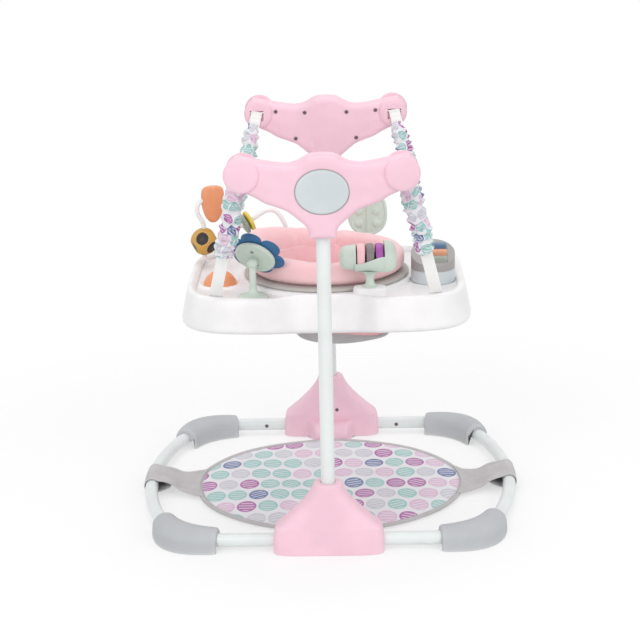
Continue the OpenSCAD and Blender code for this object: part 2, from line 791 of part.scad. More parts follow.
module slot_hole() {
  along_strap() translate([-strap_w / 2 - slot_gap, -slot_gap - strap_t / 2, -strap_len - tail_end])
    cube([strap_w + 2 * slot_gap, strap_t + 2 * slot_gap, 2 * tail_end]);
}
module stud_hole(x, y, d) {
  translate([x, y, deck_z - 2 * deck_t]) cylinder(h = 4 * deck_t, d = d);
}
module boss_outline() {
  straight = boss_w - boss_d;
  translate([boss_x - straight / 2, -boss_y - boss_d / 2]) square([straight, boss_d]);
  for (side = [-1, 1]) translate([boss_x + side * straight / 2, -boss_y]) circle(boss_d / 2);
}
module tray_deck() {
  land_r = seat_hole_r + collar_land;
  skirt_r = land_r - skirt_step;
  plan = tray_plan(rim_w + 2 * deck_gap);
  color(white) difference() {
    union() {
      translate([0, 0, deck_z - deck_t]) linear_extrude(deck_t) polygon(plan);
      translate([0, 0, deck_z - skirt_h]) cylinder(h = skirt_h, r = skirt_r);
      translate([0, 0, deck_z - deck_t]) linear_extrude(deck_t + collar_rise) intersection() {
        polygon(plan);
        circle(r = land_r);
      }
      translate([0, 0, deck_z - deck_t]) linear_extrude(boss_h + deck_t) intersection() {
        polygon(plan);
        boss_outline();
      }
    }
    translate([0, 0, deck_z - skirt_h - overrun]) {
      cylinder(h = tray_h, r = seat_hole_r);
      cylinder(h = skirt_h + overrun - deck_t, r = skirt_r - deck_t);
    }
    translate([0, 0, deck_z + collar_rise]) cylinder(h = tray_h, r = ring_r + run_gap);
    four_corners() slot_hole();
    stud_hole(flower_hub[0], flower_hub[1], stud_d + 2 * fit);
    stud_hole(leaf_x, leaf_y, stud_d + 2 * leaf_turn_gap);
    stud_hole(-ball_x, -ball_y, ball_d + 2 * ball_gap);
    for (leg = [0, 1]) at_arch() translate([leg * arch_w, 0, -2 * deck_t])
      cylinder(h = 4 * deck_t, d = wire_d + 2 * fit);
    translate([boss_x, -boss_y, deck_z + boss_h - stud_len])
      cylinder(h = stud_len + overrun, d = stud_d + 2 * fit);
  }
}

module seat_ring() {
  skirt_r = seat_hole_r - run_gap;
  color(taupe) translate([0, 0, ring_z]) rotate_extrude() {
    translate([skirt_r - hook_t, 0]) square([ring_r - skirt_r + hook_t, ring_t]);
    translate([skirt_r - hook_t, -hook_h]) square([hook_t, hook_h]);
  }
}
function bumper_ring(k) = let (
    a = k * 360 / bumper_rows,
    mid = bumper_r - bumper_w / 2,
    x = bumper_w / 2 * signed_power(cos(a), pad_power),
    z = bumper_h / 2 * (1 + signed_power(sin(a), pad_power)))
  [for (i = [0 : bumper_sides - 1]) let (
      turn = i * 360 / bumper_sides,
      puff = lobe_depth * sin(turn * bumper_lobes) * (1 + sin(a)) / 2,
      r = mid + x + puff * sign(cos(a)))
    [r * cos(turn), r * sin(turn), bumper_z + z]];
module seat_bumper() {
  color(coral) loft([for (k = [bumper_rows - 1 : -1 : 0]) bumper_ring(k)], true);
}
// The sling: a cloth band under the ring and a crotch panel between two leg holes
module seat_sling() {
  band_h = sling_drop * sling_band_share;
  top_r = seat_hole_r - run_gap - hook_t - fit;
  low_z = ring_z - sling_drop;
  panel_h = sling_drop - band_h;
  turns = [for (k = [0 : sling_steps]) k * 90 / sling_steps];
  color(coral) rotate([0, 0, seat_turn]) {
    translate([0, 0, ring_z - band_h]) rotate_extrude() polygon([[sling_low_r, 0], [top_r, band_h],
      [top_r - sling_t, band_h], [sling_low_r - sling_t, 0]]);
    intersection() {
      translate([0, 0, low_z]) rotate_extrude() polygon(concat(
        [for (a = turns) [sling_low_r * sin(a), (panel_h + sling_t) * (1 - cos(a))]],
        [for (k = [sling_steps : -1 : 0]) let (a = turns[k])
          [(sling_low_r - sling_t) * sin(a), sling_t + panel_h * (1 - cos(a))]]));
      translate([-crotch_w / 2, -sling_low_r, low_z - overrun]) cube([crotch_w, 2 * sling_low_r, sling_drop]);
    }
  }
}

module at_flower() {
  translate(flower_mid) rotate([0, flower_pitch, flower_turn]) children();
}
module flower_petals() {
  petal_d = flower_d * petal_share;
  color(blue) at_flower() translate([0, 0, -flower_t / 2]) difference() {
    union() {
      cylinder(h = flower_t, d = flower_d * petal_disc_share);
      for (k = [0 : flower_count - 1]) rotate([0, 0, k * 360 / flower_count])
        translate([(flower_d - petal_d) / 2, 0, 0]) cylinder(h = flower_t, d = petal_d);
    }
    translate([0, 0, -overrun])
      cylinder(h = overrun + flower_t / 2 + run_gap, d = flower_pin_d + 2 * run_gap);
  }
}
module flower_back() {
  color(sage) at_flower() translate([0, 0, -flower_t / 2 - flower_back_t]) difference() {
    cylinder(h = flower_back_t, d = flower_back_d);
    translate([0, 0, -overrun]) cylinder(h = flower_back_t + 2 * overrun, d = flower_pin_d + 2 * run_gap);
  }
}
module flower_stand() {
  stem_low = deck_z + flower_foot_h * foot_taper_share;
  color(sage) {
    translate([flower_hub[0], flower_hub[1], 0]) {
      translate([0, 0, deck_z + fit]) rotate_extrude() polygon([[0, 0], [flower_foot_d / 2, 0],
        [flower_foot_d / 2, flower_foot_h / 4], [stem_d / 2, flower_foot_h], [0, flower_foot_h]]);
      translate([0, 0, deck_z - stud_len]) cylinder(h = 2 * stud_len, d = stud_d);
      translate([0, 0, stem_low]) cylinder(h = flower_hub[2] - stem_low, d = stem_d);
    }
    translate(flower_hub) sphere(d = flower_hub_d);
    at_flower() translate([0, 0, -flower_hub_back]) cylinder(h = flower_hub_back, d = flower_pin_d);
  }
}

// Roller toy on the white boss of the deck
module at_roller() {
  translate([boss_x, -boss_y, deck_z]) rotate([0, 0, roller_turn]) children();
}
module along_shaft(x) {
  at_roller() translate([x, 0, roller_rise]) rotate([0, 90, 0]) children();
}
module roller_stand() {
  span = roller_span / 2 + run_gap;
  yoke_low = roller_rise - roller_d / 2 - saddle_gap - yoke_t;
  color(sage) {
    for (side = [-1, 1]) along_shaft(side > 0 ? span : -span - ear_t) difference() {
      cylinder(h = ear_t, d = ear_d);
      translate([0, 0, -overrun]) cylinder(h = ear_t + 2 * overrun, d = shaft_d + 2 * fit);
    }
    at_roller() {
      translate([-span - ear_t / 2, -ear_d / 4, yoke_low]) cube([2 * span + ear_t, ear_d / 2, yoke_t]);
      translate([0, 0, boss_h - stud_len])
        cylinder(h = yoke_low + yoke_t / 2 - boss_h + stud_len, d = stud_d);
      translate([0, 0, boss_h + fit])
        cylinder(h = yoke_low - boss_h, d1 = 2 * stud_d, d2 = stud_d * roller_neck_share);
    }
  }
}
module roller_shaft() {
  half = roller_span / 2 + ear_t;
  color(steel) along_shaft(-half) cylinder(h = 2 * half, d = shaft_d);
}
module roller(k, tint) {
  color(tint) along_shaft(k * roller_pitch + (roller_gap - roller_span) / 2) difference() {
    cylinder(h = roller_t, d = roller_d);
    translate([0, 0, -overrun]) cylinder(h = roller_t + 2 * overrun, d = shaft_d + 2 * run_gap);
  }
}

// Leaf paddle that turns on its stud
module leaf_toy() {
  mid = leaf_foot_h + leaf_stem_h + leaf_h / 2;
  color(sage) translate([leaf_x, leaf_y, deck_z + leaf_turn_gap]) {
    translate([0, 0, -stud_len]) cylinder(h = stud_len + leaf_foot_h, d = stud_d);
    cylinder(h = leaf_foot_h, d = leaf_foot_d);
    cylinder(h = leaf_foot_h + leaf_stem_h + leaf_rim, d = leaf_t);
    translate([0, leaf_t / 2, mid]) rotate([90, 0, 0]) difference() {
      linear_extrude(leaf_t) leaf_outline(0);
      for (z = [-leaf_rim / 2, leaf_t - leaf_rim / 2]) translate([0, 0, z]) linear_extrude(leaf_rim)
        leaf_outline(leaf_rim);
    }
    translate([-leaf_rim / 2, -leaf_t / 2, mid - leaf_h / 2 + leaf_rim / 2])
      cube([leaf_rim, leaf_t, leaf_h - leaf_rim]);
    for (side = [-1, 1], row = [-1, 0, 1])
      translate([side * leaf_w * leaf_dome_share[0], 0, mid + row * leaf_h * leaf_dome_share[1]])
        sphere(d = leaf_dome_d);
  }
}
// A leaf seen flat: rounded at the foot, drawn together at the tip
module leaf_outline(inset) {
  half = leaf_h / 2 - inset;
  polygon([for (k = [0 : leaf_sides - 1]) let (a = k * 360 / leaf_sides)
    [(leaf_w / 2 - inset) * cos(a) * (1 - leaf_tip_share * sin(a)),
      half * signed_power(sin(a), leaf_power)]]);
}

module at_ball() {
  translate([-ball_x, -ball_y, deck_z - ball_sink]) children();
}
module spin_ball() {
  color(orange) at_ball() difference() {
    sphere(d = ball_d);
    translate([0, ball_d, 0]) rotate([90, 0, 0]) cylinder(h = 2 * ball_d, d = axle_d + 2 * run_gap);
  }
}
// Bowl under the deck that carries the ball's axle
module ball_cup() {
  cup_r = ball_d / 2 + ball_gap;
  color(white) at_ball() {
    intersection() {
      difference() {
        sphere(r = cup_r + cup_t);
        sphere(r = cup_r);
      }
      translate([-ball_d, -ball_d, -ball_d])
        cube([2 * ball_d, 2 * ball_d, ball_d + ball_sink - deck_t - fit]);
    }
    translate([0, cup_r + cup_t / 2, 0]) rotate([90, 0, 0]) cylinder(h = 2 * cup_r + cup_t, d = axle_d);
  }
}

// The bead arch: a wire bent in one upright plane that stands on the deck
module at_arch() {
  translate([-arch_x, arch_y, deck_z]) rotate([0, 0, arch_turn]) children();
}
function arch_point(share) = [share[0] * arch_w, 0, share[1] * arch_h];
function curve(p, k, t) = let (a = p[max(0, k - 1)], b = p[k], c = p[k + 1], d = p[min(len(p) - 1, k + 2)])
  (2 * b + (c - a) * t + (2 * a - 5 * b + 4 * c - d) * t * t + (3 * b - a - 3 * c + d) * t * t * t) / 2;
arch_last = len(arch_shares) - 1;
arch_route = [for (k = [0 : arch_last - 1], j = [0 : arch_steps - 1]) curve(arch_shares, k, j / arch_steps)];
arch_line = [for (share = concat(arch_route, [arch_shares[arch_last]])) arch_point(share)];
function arch_ring(k) = let (
    far = len(arch_line) - 1,
    way = arch_line[min(far, k + 1)] - arch_line[max(0, k - 1)],
    side = cross([0, 1, 0], way / norm(way)))
  [for (i = [0 : arch_sides - 1]) let (a = i * 360 / arch_sides)
    arch_line[k] + wire_d / 2 * (cos(a) * side + [0, sin(a), 0])];
module bead_arch() {
  color(white) at_arch() loft([for (k = [0 : len(arch_line) - 1]) arch_ring(k)]);
}
module bead_ball() {
  color(ochre) at_arch() translate(arch_point(cage_share)) difference() {
    sphere(d = cage_d);
    translate([0, 0, -cage_d]) cylinder(h = 2 * cage_d, d = wire_d + bead_slack);
    for (k = [0 : cage_windows - 1]) rotate([0, 0, k * 360 / cage_windows])
      translate([cage_d * cage_window_share[0], 0, 0]) rotate([0, 90, 0])
        cylinder(h = cage_d, d = cage_d * cage_window_share[1]);
  }
}
module bead_leaf() {
  color(orange) at_arch() translate(arch_point(leaf_bead_share)) rotate([0, 90, 0])
    translate([0, 0, -leaf_bead_w / 2]) difference() {
      linear_extrude(leaf_bead_w) polygon([for (k = [0 : bead_sides - 1]) let (a = k * 360 / bead_sides)
        [leaf_bead_h / 2 * signed_power(cos(a), bead_powers[0]),
          leaf_bead_t / 2 * signed_power(sin(a), bead_powers[1])]]);
      translate([0, 0, -overrun]) cylinder(h = leaf_bead_w + 2 * overrun, d = leaf_bead_bore);
    }
}
// A disc on the straight rise of the wire, square to it
module bead_disc(along, tint) {
  way = arch_point(arch_rise_share[1] - arch_rise_share[0]);
  place = arch_point(blend(arch_rise_share[0], arch_rise_share[1], along));
  color(tint) at_arch() translate(place) rotate([0, 90 - atan2(way[2], way[0]), 0])
    translate([0, 0, -disc_t / 2]) difference() {
      cylinder(h = disc_t, d = disc_d);
      translate([0, 0, -overrun]) cylinder(h = disc_t + 2 * overrun, d = wire_d + bead_slack);
    }
}

module at_pod() {
  translate([pod_x, -pod_y, deck_z + fit]) children();
}
module pod_base() {
  color(grey) at_pod() cylinder(h = pod_base_h, d = pod_d);
}
module key_block(extra, h) {
  translate([key_x - key_w / 2 - extra, -key_d / 2 - extra, 0])
    cube([key_w + 2 * extra, key_d + 2 * extra, h]);
}
// Slants up to the back, with a hole for each key
module pod_cover() {
  color(taupe) at_pod() translate([0, 0, pod_base_h + fit]) difference() {
    cylinder(h = 2 * pod_cover_h, d = pod_d);
    translate([0, 0, pod_cover_h]) rotate([pod_tilt, 0, 0]) translate([-pod_d, -pod_d, 0])
      cube([2 * pod_d, 2 * pod_d, 2 * pod_cover_h]);
    for (k = [-1, 0, 1]) translate([0, k * key_pitch, -overrun])
      key_block(key_gap, 2 * pod_cover_h + 2 * overrun);
  }
}
module pod_key(k, tint) {
  low = key_travel + key_gap;
  top = pod_cover_h + k * key_pitch * tan(pod_tilt) + key_rise;
  color(tint) at_pod() translate([0, k * key_pitch, pod_base_h + fit + low]) key_block(0, top - low);
}

at(-1, 1) base_tube();  // base_tube_left
base_tube();  // base_tube_right
at_post(-1) base_housing();  // base_housing_front
at_post(1) base_housing();  // base_housing_back
for (end = [-1, 1]) at_post(end) base_plate();  // base_plates
at(-1, -1) foot();  // foot_front_left
at(1, -1) foot();  // foot_front_right
at(-1, 1) foot();  // foot_back_left
at(1, 1) foot();  // foot_back_right
at_post(-1) post();  // post_front
at_post(1) post();  // post_back
for (end = [-1, 1]) at_post(end) post_sleeve();  // post_sleeves
for (end = [-1, 1]) base_screw_set(end);  // base_screws
at_post(-1) head_outer();  // head_outer_front
at_post(-1) head_inner();  // head_inner_front
at_post(1) head_outer();  // head_outer_back
at_post(1) head_inner();  // head_inner_back
at_post(-1) badge();  // badge_front
at_post(1) badge();  // badge_back
four_hubs() hub_cap();  // hub_caps
four_hubs() strap_guide();  // strap_guides
four_corners() strap_pin();  // strap_pins
for (end = [-1, 1]) head_screw_set(end);  // head_screws
four_corners() strap_top();  // strap_tops
four_corners() bounce_spring();  // bounce_springs
at(-1, -1) cloth_sleeve();  // cloth_sleeve_front_left
at(1, -1) cloth_sleeve();  // cloth_sleeve_front_right
at(-1, 1) cloth_sleeve();  // cloth_sleeve_back_left
at(1, 1) cloth_sleeve();  // cloth_sleeve_back_right
four_corners() strap_tail();  // strap_tails
four_corners() strap_buckle();  // strap_buckles
foot_mat();
at(-1, 1) mat_wing();  // mat_wing_left
mat_wing();  // mat_wing_right
tray_body();
tray_deck();
seat_ring();
seat_bumper();
seat_sling();
flower_stand();
flower_petals();
flower_back();
roller_stand();
roller_shaft();
roller(0, coral);  // roller_pink
roller(1, taupe);  // roller_grey
roller(2, purple);  // roller_purple
leaf_toy();
spin_ball();
ball_cup();
bead_arch();
bead_ball();
bead_leaf();
bead_disc(disc_shares[0], ochre);  // bead_yellow
bead_disc(disc_shares[1], sage);  // bead_sage
pod_base();
pod_cover();
pod_key(-1, sage);  // pod_key_sage
pod_key(0, orange);  // pod_key_orange
pod_key(1, blue);  // pod_key_blue
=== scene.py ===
"""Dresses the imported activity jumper: a ring base, two posts, a sprung tray, a turning seat and toys."""
from math import atan, atan2, cos, exp, hypot, pi, radians, sin, sqrt

import bmesh
import bpy
import numpy as np
from bpy.props import FloatProperty, FloatVectorProperty, PointerProperty
from mathutils import Matrix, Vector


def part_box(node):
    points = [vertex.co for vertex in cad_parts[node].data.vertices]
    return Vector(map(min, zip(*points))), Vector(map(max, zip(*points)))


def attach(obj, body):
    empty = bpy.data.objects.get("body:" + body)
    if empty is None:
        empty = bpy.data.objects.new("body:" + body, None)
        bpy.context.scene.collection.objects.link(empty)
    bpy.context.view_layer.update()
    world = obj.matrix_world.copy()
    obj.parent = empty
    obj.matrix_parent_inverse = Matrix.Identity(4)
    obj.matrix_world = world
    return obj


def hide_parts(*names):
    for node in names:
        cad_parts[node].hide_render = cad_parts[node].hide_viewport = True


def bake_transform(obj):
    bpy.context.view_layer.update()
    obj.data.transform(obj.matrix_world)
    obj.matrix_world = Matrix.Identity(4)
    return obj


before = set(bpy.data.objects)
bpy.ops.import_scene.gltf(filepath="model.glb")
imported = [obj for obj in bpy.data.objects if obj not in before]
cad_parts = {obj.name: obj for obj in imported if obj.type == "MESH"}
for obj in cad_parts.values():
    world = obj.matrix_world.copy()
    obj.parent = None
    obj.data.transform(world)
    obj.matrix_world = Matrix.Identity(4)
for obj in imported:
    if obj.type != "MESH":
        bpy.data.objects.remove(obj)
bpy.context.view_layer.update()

bl_info = {
    "name": "Activity jumper",
    "version": (1, 0, 0),
    "blender": (4, 5, 0),
    "location": "3D View > Sidebar > Jumper",
    "description": "Builds the dressed model of an activity jumper on its packed frame",
    "category": "Add Mesh",
}

MM = 0.001
SIDES = (-1, 1)
ENDS = ((-1, "front"), (1, "back"))
FLANKS = ((-1, "left"), (1, "right"))
CORNERS = [(side, end, f"{near}_{hand}") for side, hand in FLANKS for end, near in ENDS]


def mm(values):
    """Lengths in metres from millimetres."""
    return np.array(values, float) * MM


def size(name, words, length):
    return FloatProperty(name=name, description=words, default=length * MM, unit="LENGTH", subtype="DISTANCE")


def linear(code):
    """The linear colour of a six-digit screen colour."""
    parts = [int(code[k:k + 2], 16) / 255 for k in (0, 2, 4)]
    return [c / 12.92 if c <= 0.04045 else ((c + 0.055) / 1.055) ** 2.4 for c in parts] + [1.0]


def tint(name, words, code):
    return FloatVectorProperty(
        name=name, description=words, default=linear(code), size=4, min=0, max=1, subtype="COLOR")


class JumperSizes(bpy.types.PropertyGroup):
    """Driving sizes, the same as in the part's source"""

    post_gap: size("Post gap", "Distance between the two post axes, front to back", 712)
    base_w: size("Base width", "Width between the side tube axes", 784)
    tube_d: size("Tube diameter", "Outer diameter of every steel tube", 28)
    tube_z: size("Tube height", "Height of the tube axes above the floor", 22)
    corner_r: size("Corner radius", "Bend radius of the base tubes", 150)
    side_bow: size("Side bow", "Reach of the side tubes past the corner bends", 37)
    tube_end: size("Tube end", "Distance of the tube ends from the middle of a housing", 34)
    foot_h: size("Foot height", "Height of a corner foot", 46)
    foot_out: size("Foot outside", "Reach of a foot outside the tube axis", 24)
    foot_in: size("Foot inside", "Reach of a foot inside the tube axis", 30)
    foot_wall: size("Foot wall", "Wall of a foot beside its hollow", 4)
    foot_setback: size("Foot setback", "Bare tube between the start of a bend and its foot", 20)
    housing_w: size("Housing width", "Width of a base housing", 224)
    housing_h: size("Housing height", "Height of a base housing", 146)
    housing_side_h: size("Housing sides", "Height of the upright sides", 54)
    housing_out: size("Housing outside", "Reach outside the post axis", 37)
    housing_in: size("Housing inside", "Reach inside the post axis", 34)
    collar_d: size("Collar diameter", "Diameter of the collars round a post", 52)
    toe_w: size("Toe width", "Width of a housing's toe", 112)
    toe_reach: size("Toe reach", "Reach of the toe past the inner face", 44)
    toe_h: size("Toe height", "Height of the toe", 42)
    head_z: size("Head level", "Height of a head's lower edge", 651)
    head_h: size("Head height", "Height of a head", 160)
    hub_gap: size("Hub gap", "Distance between two hub centres", 306)
    hub_rise: size("Hub rise", "Height of the hubs above the head's lower edge", 126)
    hub_d: size("Hub diameter", "Diameter of the hub discs", 68)
    shell_out: size("Outer shell", "Depth of the outer shell", 36)
    shell_in: size("Inner shell", "Depth of the inner shell", 32)
    badge_w: size("Plate width", "Width of the oval plate", 102)
    badge_h: size("Plate height", "Height of the oval plate", 85)
    strap_w: size("Webbing width", "Width of the webbing", 25)
    strap_t: size("Webbing thickness", "Thickness of the webbing", 1.6)
    slot_x: size("Slot sideways", "Distance of the tray slots from the middle, sideways", 228)
    slot_y: size("Slot lengthways", "Distance of the tray slots from the middle, front to back", 166)
    guide_t: size("Guide thickness", "Thickness of a strap guide", 9)
    pin_d: size("Pin diameter", "Diameter of a strap pin", 4)
    top_len: size("Top webbing", "Free length of a top webbing under its pin", 56)
    tail_end: size("Tail end", "Length of webbing under the deck", 20)
    cloth_d: size("Sleeve diameter", "Diameter of a gathered sleeve", 38)
    cloth_len: size("Sleeve length", "Length of a gathered sleeve", 198)
    cloth_start: size("Sleeve start", "Distance of a sleeve from its pin", 28)
    spring_d: size("Spring diameter", "Outer diameter of a bounce spring", 22)
    spring_wire: size("Spring wire", "Wire of a bounce spring", 2.6)
    spring_len: size("Spring length", "Length of a bounce spring at rest", 140)
    mat_r: size("Mat radius", "Radius of the foot mat", 276)
    mat_t: size("Mat thickness", "Thickness of the mat in the middle", 12)
    mat_lift: size("Mat lift", "Height of the mat above the floor", 3)
    binding_d: size("Binding", "Height of the mat's edge binding", 8)
    wing_w: size("Wing width", "Width of a wing at the mat", 165)
    wing_loop_w: size("Wing loop", "Width of a wing round the tube", 96)
    tray_w: size("Tray width", "Width of the tray", 606)
    tray_d: size("Tray depth", "Depth of the tray, front to back", 480)
    rim_z: size("Rim level", "Height of the tray's rim", 490)
    rim_w: size("Rim width", "Width of the rim", 30)
    deck_drop: size("Deck drop", "Depth of the deck under the rim", 10)
    waist: size("Waist", "Depth of the waist in the front and back walls", 26)
    seat_hole_r: size("Seat hole", "Radius of the seat hole", 150)
    ring_r: size("Seat ring", "Outer radius of the seat ring", 176)
    ring_t: size("Ring thickness", "Thickness of the seat ring", 8)
    bumper_r: size("Bumper radius", "Outer radius of the padded bumper", 167)
    bumper_h: size("Bumper height", "Height of the padded bumper", 48)
    bumper_w: size("Bumper width", "Width of the bumper's padding", 46)
    sling_drop: size("Sling drop", "Depth of the sling under the seat ring", 158)
    crotch_w: size("Crotch panel", "Width of the sling's crotch panel", 120)
    flower_d: size("Flower diameter", "Diameter over the flower's petals", 122)
    flower_rise: size("Flower rise", "Height of the flower above the deck", 86)
    roller_d: size("Roller diameter", "Diameter of a roller", 56)
    roller_t: size("Roller thickness", "Thickness of a roller", 17)
    roller_rise: size("Roller rise", "Height of the roller shaft above the deck", 85)
    leaf_w: size("Leaf width", "Width of the leaf paddle", 87)
    leaf_h: size("Leaf height", "Height of the leaf paddle", 112)
    leaf_t: size("Leaf thickness", "Thickness of the leaf paddle", 12)
    ball_d: size("Ball diameter", "Diameter of the spinning ball", 72)
    wire_d: size("Arch wire", "Diameter of the bead arch's wire", 10)
    arch_w: size("Arch width", "Width between the arch's legs", 187)
    arch_h: size("Arch height", "Height of the arch above the deck", 150)
    cage_d: size("Cage diameter", "Diameter of the cage ball", 60)
    disc_d: size("Disc diameter", "Diameter of the discs on the arch", 48)
    disc_t: size("Disc thickness", "Thickness of a disc", 10)
    pod_d: size("Pod diameter", "Diameter of the pod", 92)
    pod_base_h: size("Pod base", "Height of the pod's base", 30)


class JumperColours(bpy.types.PropertyGroup):
    """Colours of the finishes, as screen colours"""

    pink: tint("Pink", "Heads and housings", "f8cedd")
    steel: tint("Painted steel", "Tubes and posts", "e6eceb")
    grey: tint("Grey", "Feet and base plates", "bcbfc2")
    plate: tint("Plate grey", "Oval plates on the heads", "d3dadd")
    white: tint("White", "Tray and bead wire", "f7f6f7")
    webbing: tint("Webbing", "Straps", "fefefc")
    coral: tint("Coral", "Seat bumper and sling", "ffcfd3")
    ring: tint("Ring grey", "Seat ring", "bcb9b4")
    pod: tint("Pod cover", "Cover of the pod and grey roller", "8a8582")
    sage: tint("Sage", "Toy stands and leaf paddle", "d3e1d5")
    sage_dark: tint("Dark sage", "Bead disc and pod key", "95a092")
    blue: tint("Blue", "Flower and pod key", "2f6a99")
    orange: tint("Orange", "Ball, leaf bead and pod key", "f09f70")
    ochre: tint("Ochre", "Cage ball", "d6a548")
    yellow: tint("Yellow", "Bead disc", "ead04e")
    # Painted shade: the dark colour stands for shade inside the cage ball, in the roller gaps and in the tray
    # slots.
    dark: tint("Dark", "Ball inside and roller gaps", "2c2726")
    screw: tint("Screw", "Screws", "6f5a60")
    violet: tint("Violet", "Roller", "b35cb6")
    taupe: tint("Taupe", "Mat wings and binding", "c2bfc0")
    ground: tint("Print ground", "Ground of the printed cloth", "f1f1f6")
    teal: tint("Print teal", "Motif colour", "9ccfca")
    plum: tint("Print plum", "Motif colour", "b45aa8")
    indigo: tint("Print indigo", "Motif colour", "5a70a6")
    lilac: tint("Print lilac", "Motif colour", "d2d2dc")
    rose: tint("Print rose", "Motif colour", "e6c2dc")
    thread: tint("Thread", "Stitches", "e9e6e4")


def sizes():
    return bpy.context.scene.jumper_sizes


def colours():
    return bpy.context.scene.jumper_colours


# Shape helpers

def ease(t):
    t = np.clip(t, 0, 1)
    return t * t * (3 - 2 * t)


def signed_power(v, p):
    return np.sign(v) * np.abs(v) ** p


def turn(count):
    return np.arange(count) * 2 * pi / count


def gone_along(line):
    """The way gone along a line at each of its points."""
    return np.concatenate([[0], np.cumsum(np.linalg.norm(np.diff(line, axis=0), axis=1))])


def spaced(line, count):
    """Points at even steps along a line."""
    gone = gone_along(line)
    at = np.linspace(0, gone[-1], count)
    return np.stack([np.interp(at, gone, line[:, k]) for k in range(line.shape[1])], 1)


def smooth(points, count):
    """A smooth line through points, at even steps."""
    p = np.asarray(points, float)
    reach = np.vstack([2 * p[:1] - p[1:2], p, 2 * p[-1:] - p[-2:-1]])
    t = np.linspace(0, 1, 16, endpoint=False)[:, None]
    runs = []
    for a, b, c, d in zip(reach, reach[1:], reach[2:], reach[3:]):
        square, cube = 2 * a - 5 * b + 4 * c - d, 3 * b - a - 3 * c + d
        runs.append((2 * b + (c - a) * t + square * t ** 2 + cube * t ** 3) / 2)
    return spaced(np.vstack([*runs, p[-1:]]), count)


def placed(points, matrix):
    m = np.array(matrix, float)
    return points @ m[:3, :3].T + m[:3, 3]


def lathe(profile, count):
    """Rings of points from a list of radius and height."""
    a = turn(count)
    return np.array([np.stack([r * np.cos(a), r * np.sin(a), np.full(count, z)], 1) for r, z in profile])


def tube(path, radius, count):
    """Rings of points round a path."""
    way = np.gradient(path, axis=0)
    way /= np.linalg.norm(way, axis=1)[:, None]
    side = np.cross(way[0], [0.3, 0.9, 0.2])
    a = turn(count)[:, None]
    rings = []
    for k, p in enumerate(path):
        side = side - way[k] * (side @ way[k])
        side /= np.linalg.norm(side)
        other = np.cross(way[k], side)
        rings.append(p + radius * (np.cos(a) * side + np.sin(a) * other))
    return np.array(rings)


def eased(corners, steps=5):
    """A closed outline with rounded corners, from corners in millimetres, each with its radius."""
    p, wide = mm(corners)[:, :2], mm(corners)[:, 2]
    out = []
    for k in range(len(p)):
        back, ahead = p[k - 1] - p[k], p[(k + 1) % len(p)] - p[k]
        a = p[k] + back / np.linalg.norm(back) * wide[k]
        b = p[k] + ahead / np.linalg.norm(ahead) * wide[k]
        for t in np.linspace(0, 1, steps):
            out.append((1 - t) ** 2 * a + 2 * t * (1 - t) * p[k] + t * t * b)
    return np.array(out)


class Shape:
    """Points, faces, their finish numbers and their cloth coordinates, gathered part by part."""

    def __init__(self):
        self.points, self.faces, self.marks, self.corners = [], [], [], []

    def add(self, points, faces, mark=0, corners=None):
        start = sum(len(p) for p in self.points)
        self.points.append(np.asarray(points, float).reshape(-1, 3))
        self.faces += [tuple(start + i for i in face) for face in faces]
        self.marks += [mark] * len(faces)
        self.corners += corners if corners is not None else [(0.0, 0.0)] * sum(len(face) for face in faces)

    def skin(self, rows, wrap=True, closed=False, ends=False, mark=0, cloth=None):
        """A skin through rows of points; cloth holds their places on the cut, one more where it wraps."""
        high, wide = rows.shape[:2]
        faces, corners = [], []
        for r in range(high if closed else high - 1):
            for c in range(wide if wrap else wide - 1):
                s, d = (r + 1) % high, (c + 1) % wide
                faces.append((r * wide + c, r * wide + d, s * wide + d, s * wide + c))
                if cloth is not None:
                    around = ((r, c), (r, c + 1), (r + 1, c + 1), (r + 1, c))
                    corners += [tuple(cloth[i][j]) for i, j in around]
        if ends:
            faces += [tuple(range(wide))[::-1], tuple((high - 1) * wide + c for c in range(wide))]
            if cloth is not None:
                first, last = ([tuple(row[c]) for c in range(wide)] for row in (cloth[0], cloth[-1]))
                corners += first[::-1] + last
        self.add(rows, faces, mark, corners if cloth is not None else None)
        return self

    def block(self, low, high, radius):
        """A block with rounded edges."""
        bm = bmesh.new()
        bmesh.ops.create_cube(bm, size=1)
        low, high = np.array(low, float), np.array(high, float)
        for v in bm.verts:
            v.co = (low + high) / 2 + np.array(v.co) * (high - low)
        bmesh.ops.bevel(bm, geom=bm.edges[:], offset=radius, segments=4, profile=0.5, affect="EDGES")
        bm.verts.index_update()
        self.add([v.co[:] for v in bm.verts], [tuple(v.index for v in f.verts) for f in bm.faces])
        bm.free()


def finish(name, shape, looks, sharp=38, facing=None):
    """Makes one smooth-shaded object of a shape in named finishes; facing turns an open sheet that way."""
    mesh = bpy.data.meshes.new(name)
    mesh.from_pydata(np.vstack(shape.points).tolist(), [], shape.faces)
    if any(c != (0.0, 0.0) for c in shape.corners):
        mesh.uv_layers.new(name="UVMap").data.foreach_set("uv", np.array(shape.corners, np.float32).ravel())
    mesh.polygons.foreach_set("material_index", np.array(shape.marks, np.int32))
    for look in looks:
        mesh.materials.append(finish_of(look))
    bm = bmesh.new()
    bm.from_mesh(mesh)
    bmesh.ops.remove_doubles(bm, verts=bm.verts, dist=1e-5)
    bmesh.ops.dissolve_degenerate(bm, dist=1e-6, edges=bm.edges)
    bmesh.ops.recalc_face_normals(bm, faces=bm.faces)
    if facing is not None:
        bm.normal_update()
        if sum(f.calc_area() * f.normal.dot(facing) for f in bm.faces) < 0:
            bmesh.ops.reverse_faces(bm, faces=bm.faces)
    bm.to_mesh(mesh)
    bm.free()
    mesh.shade_smooth()
    mesh.set_sharp_from_angle(angle=radians(sharp))
    made = bpy.data.objects.new(name, mesh)
    bpy.context.scene.collection.objects.link(made)
    return made


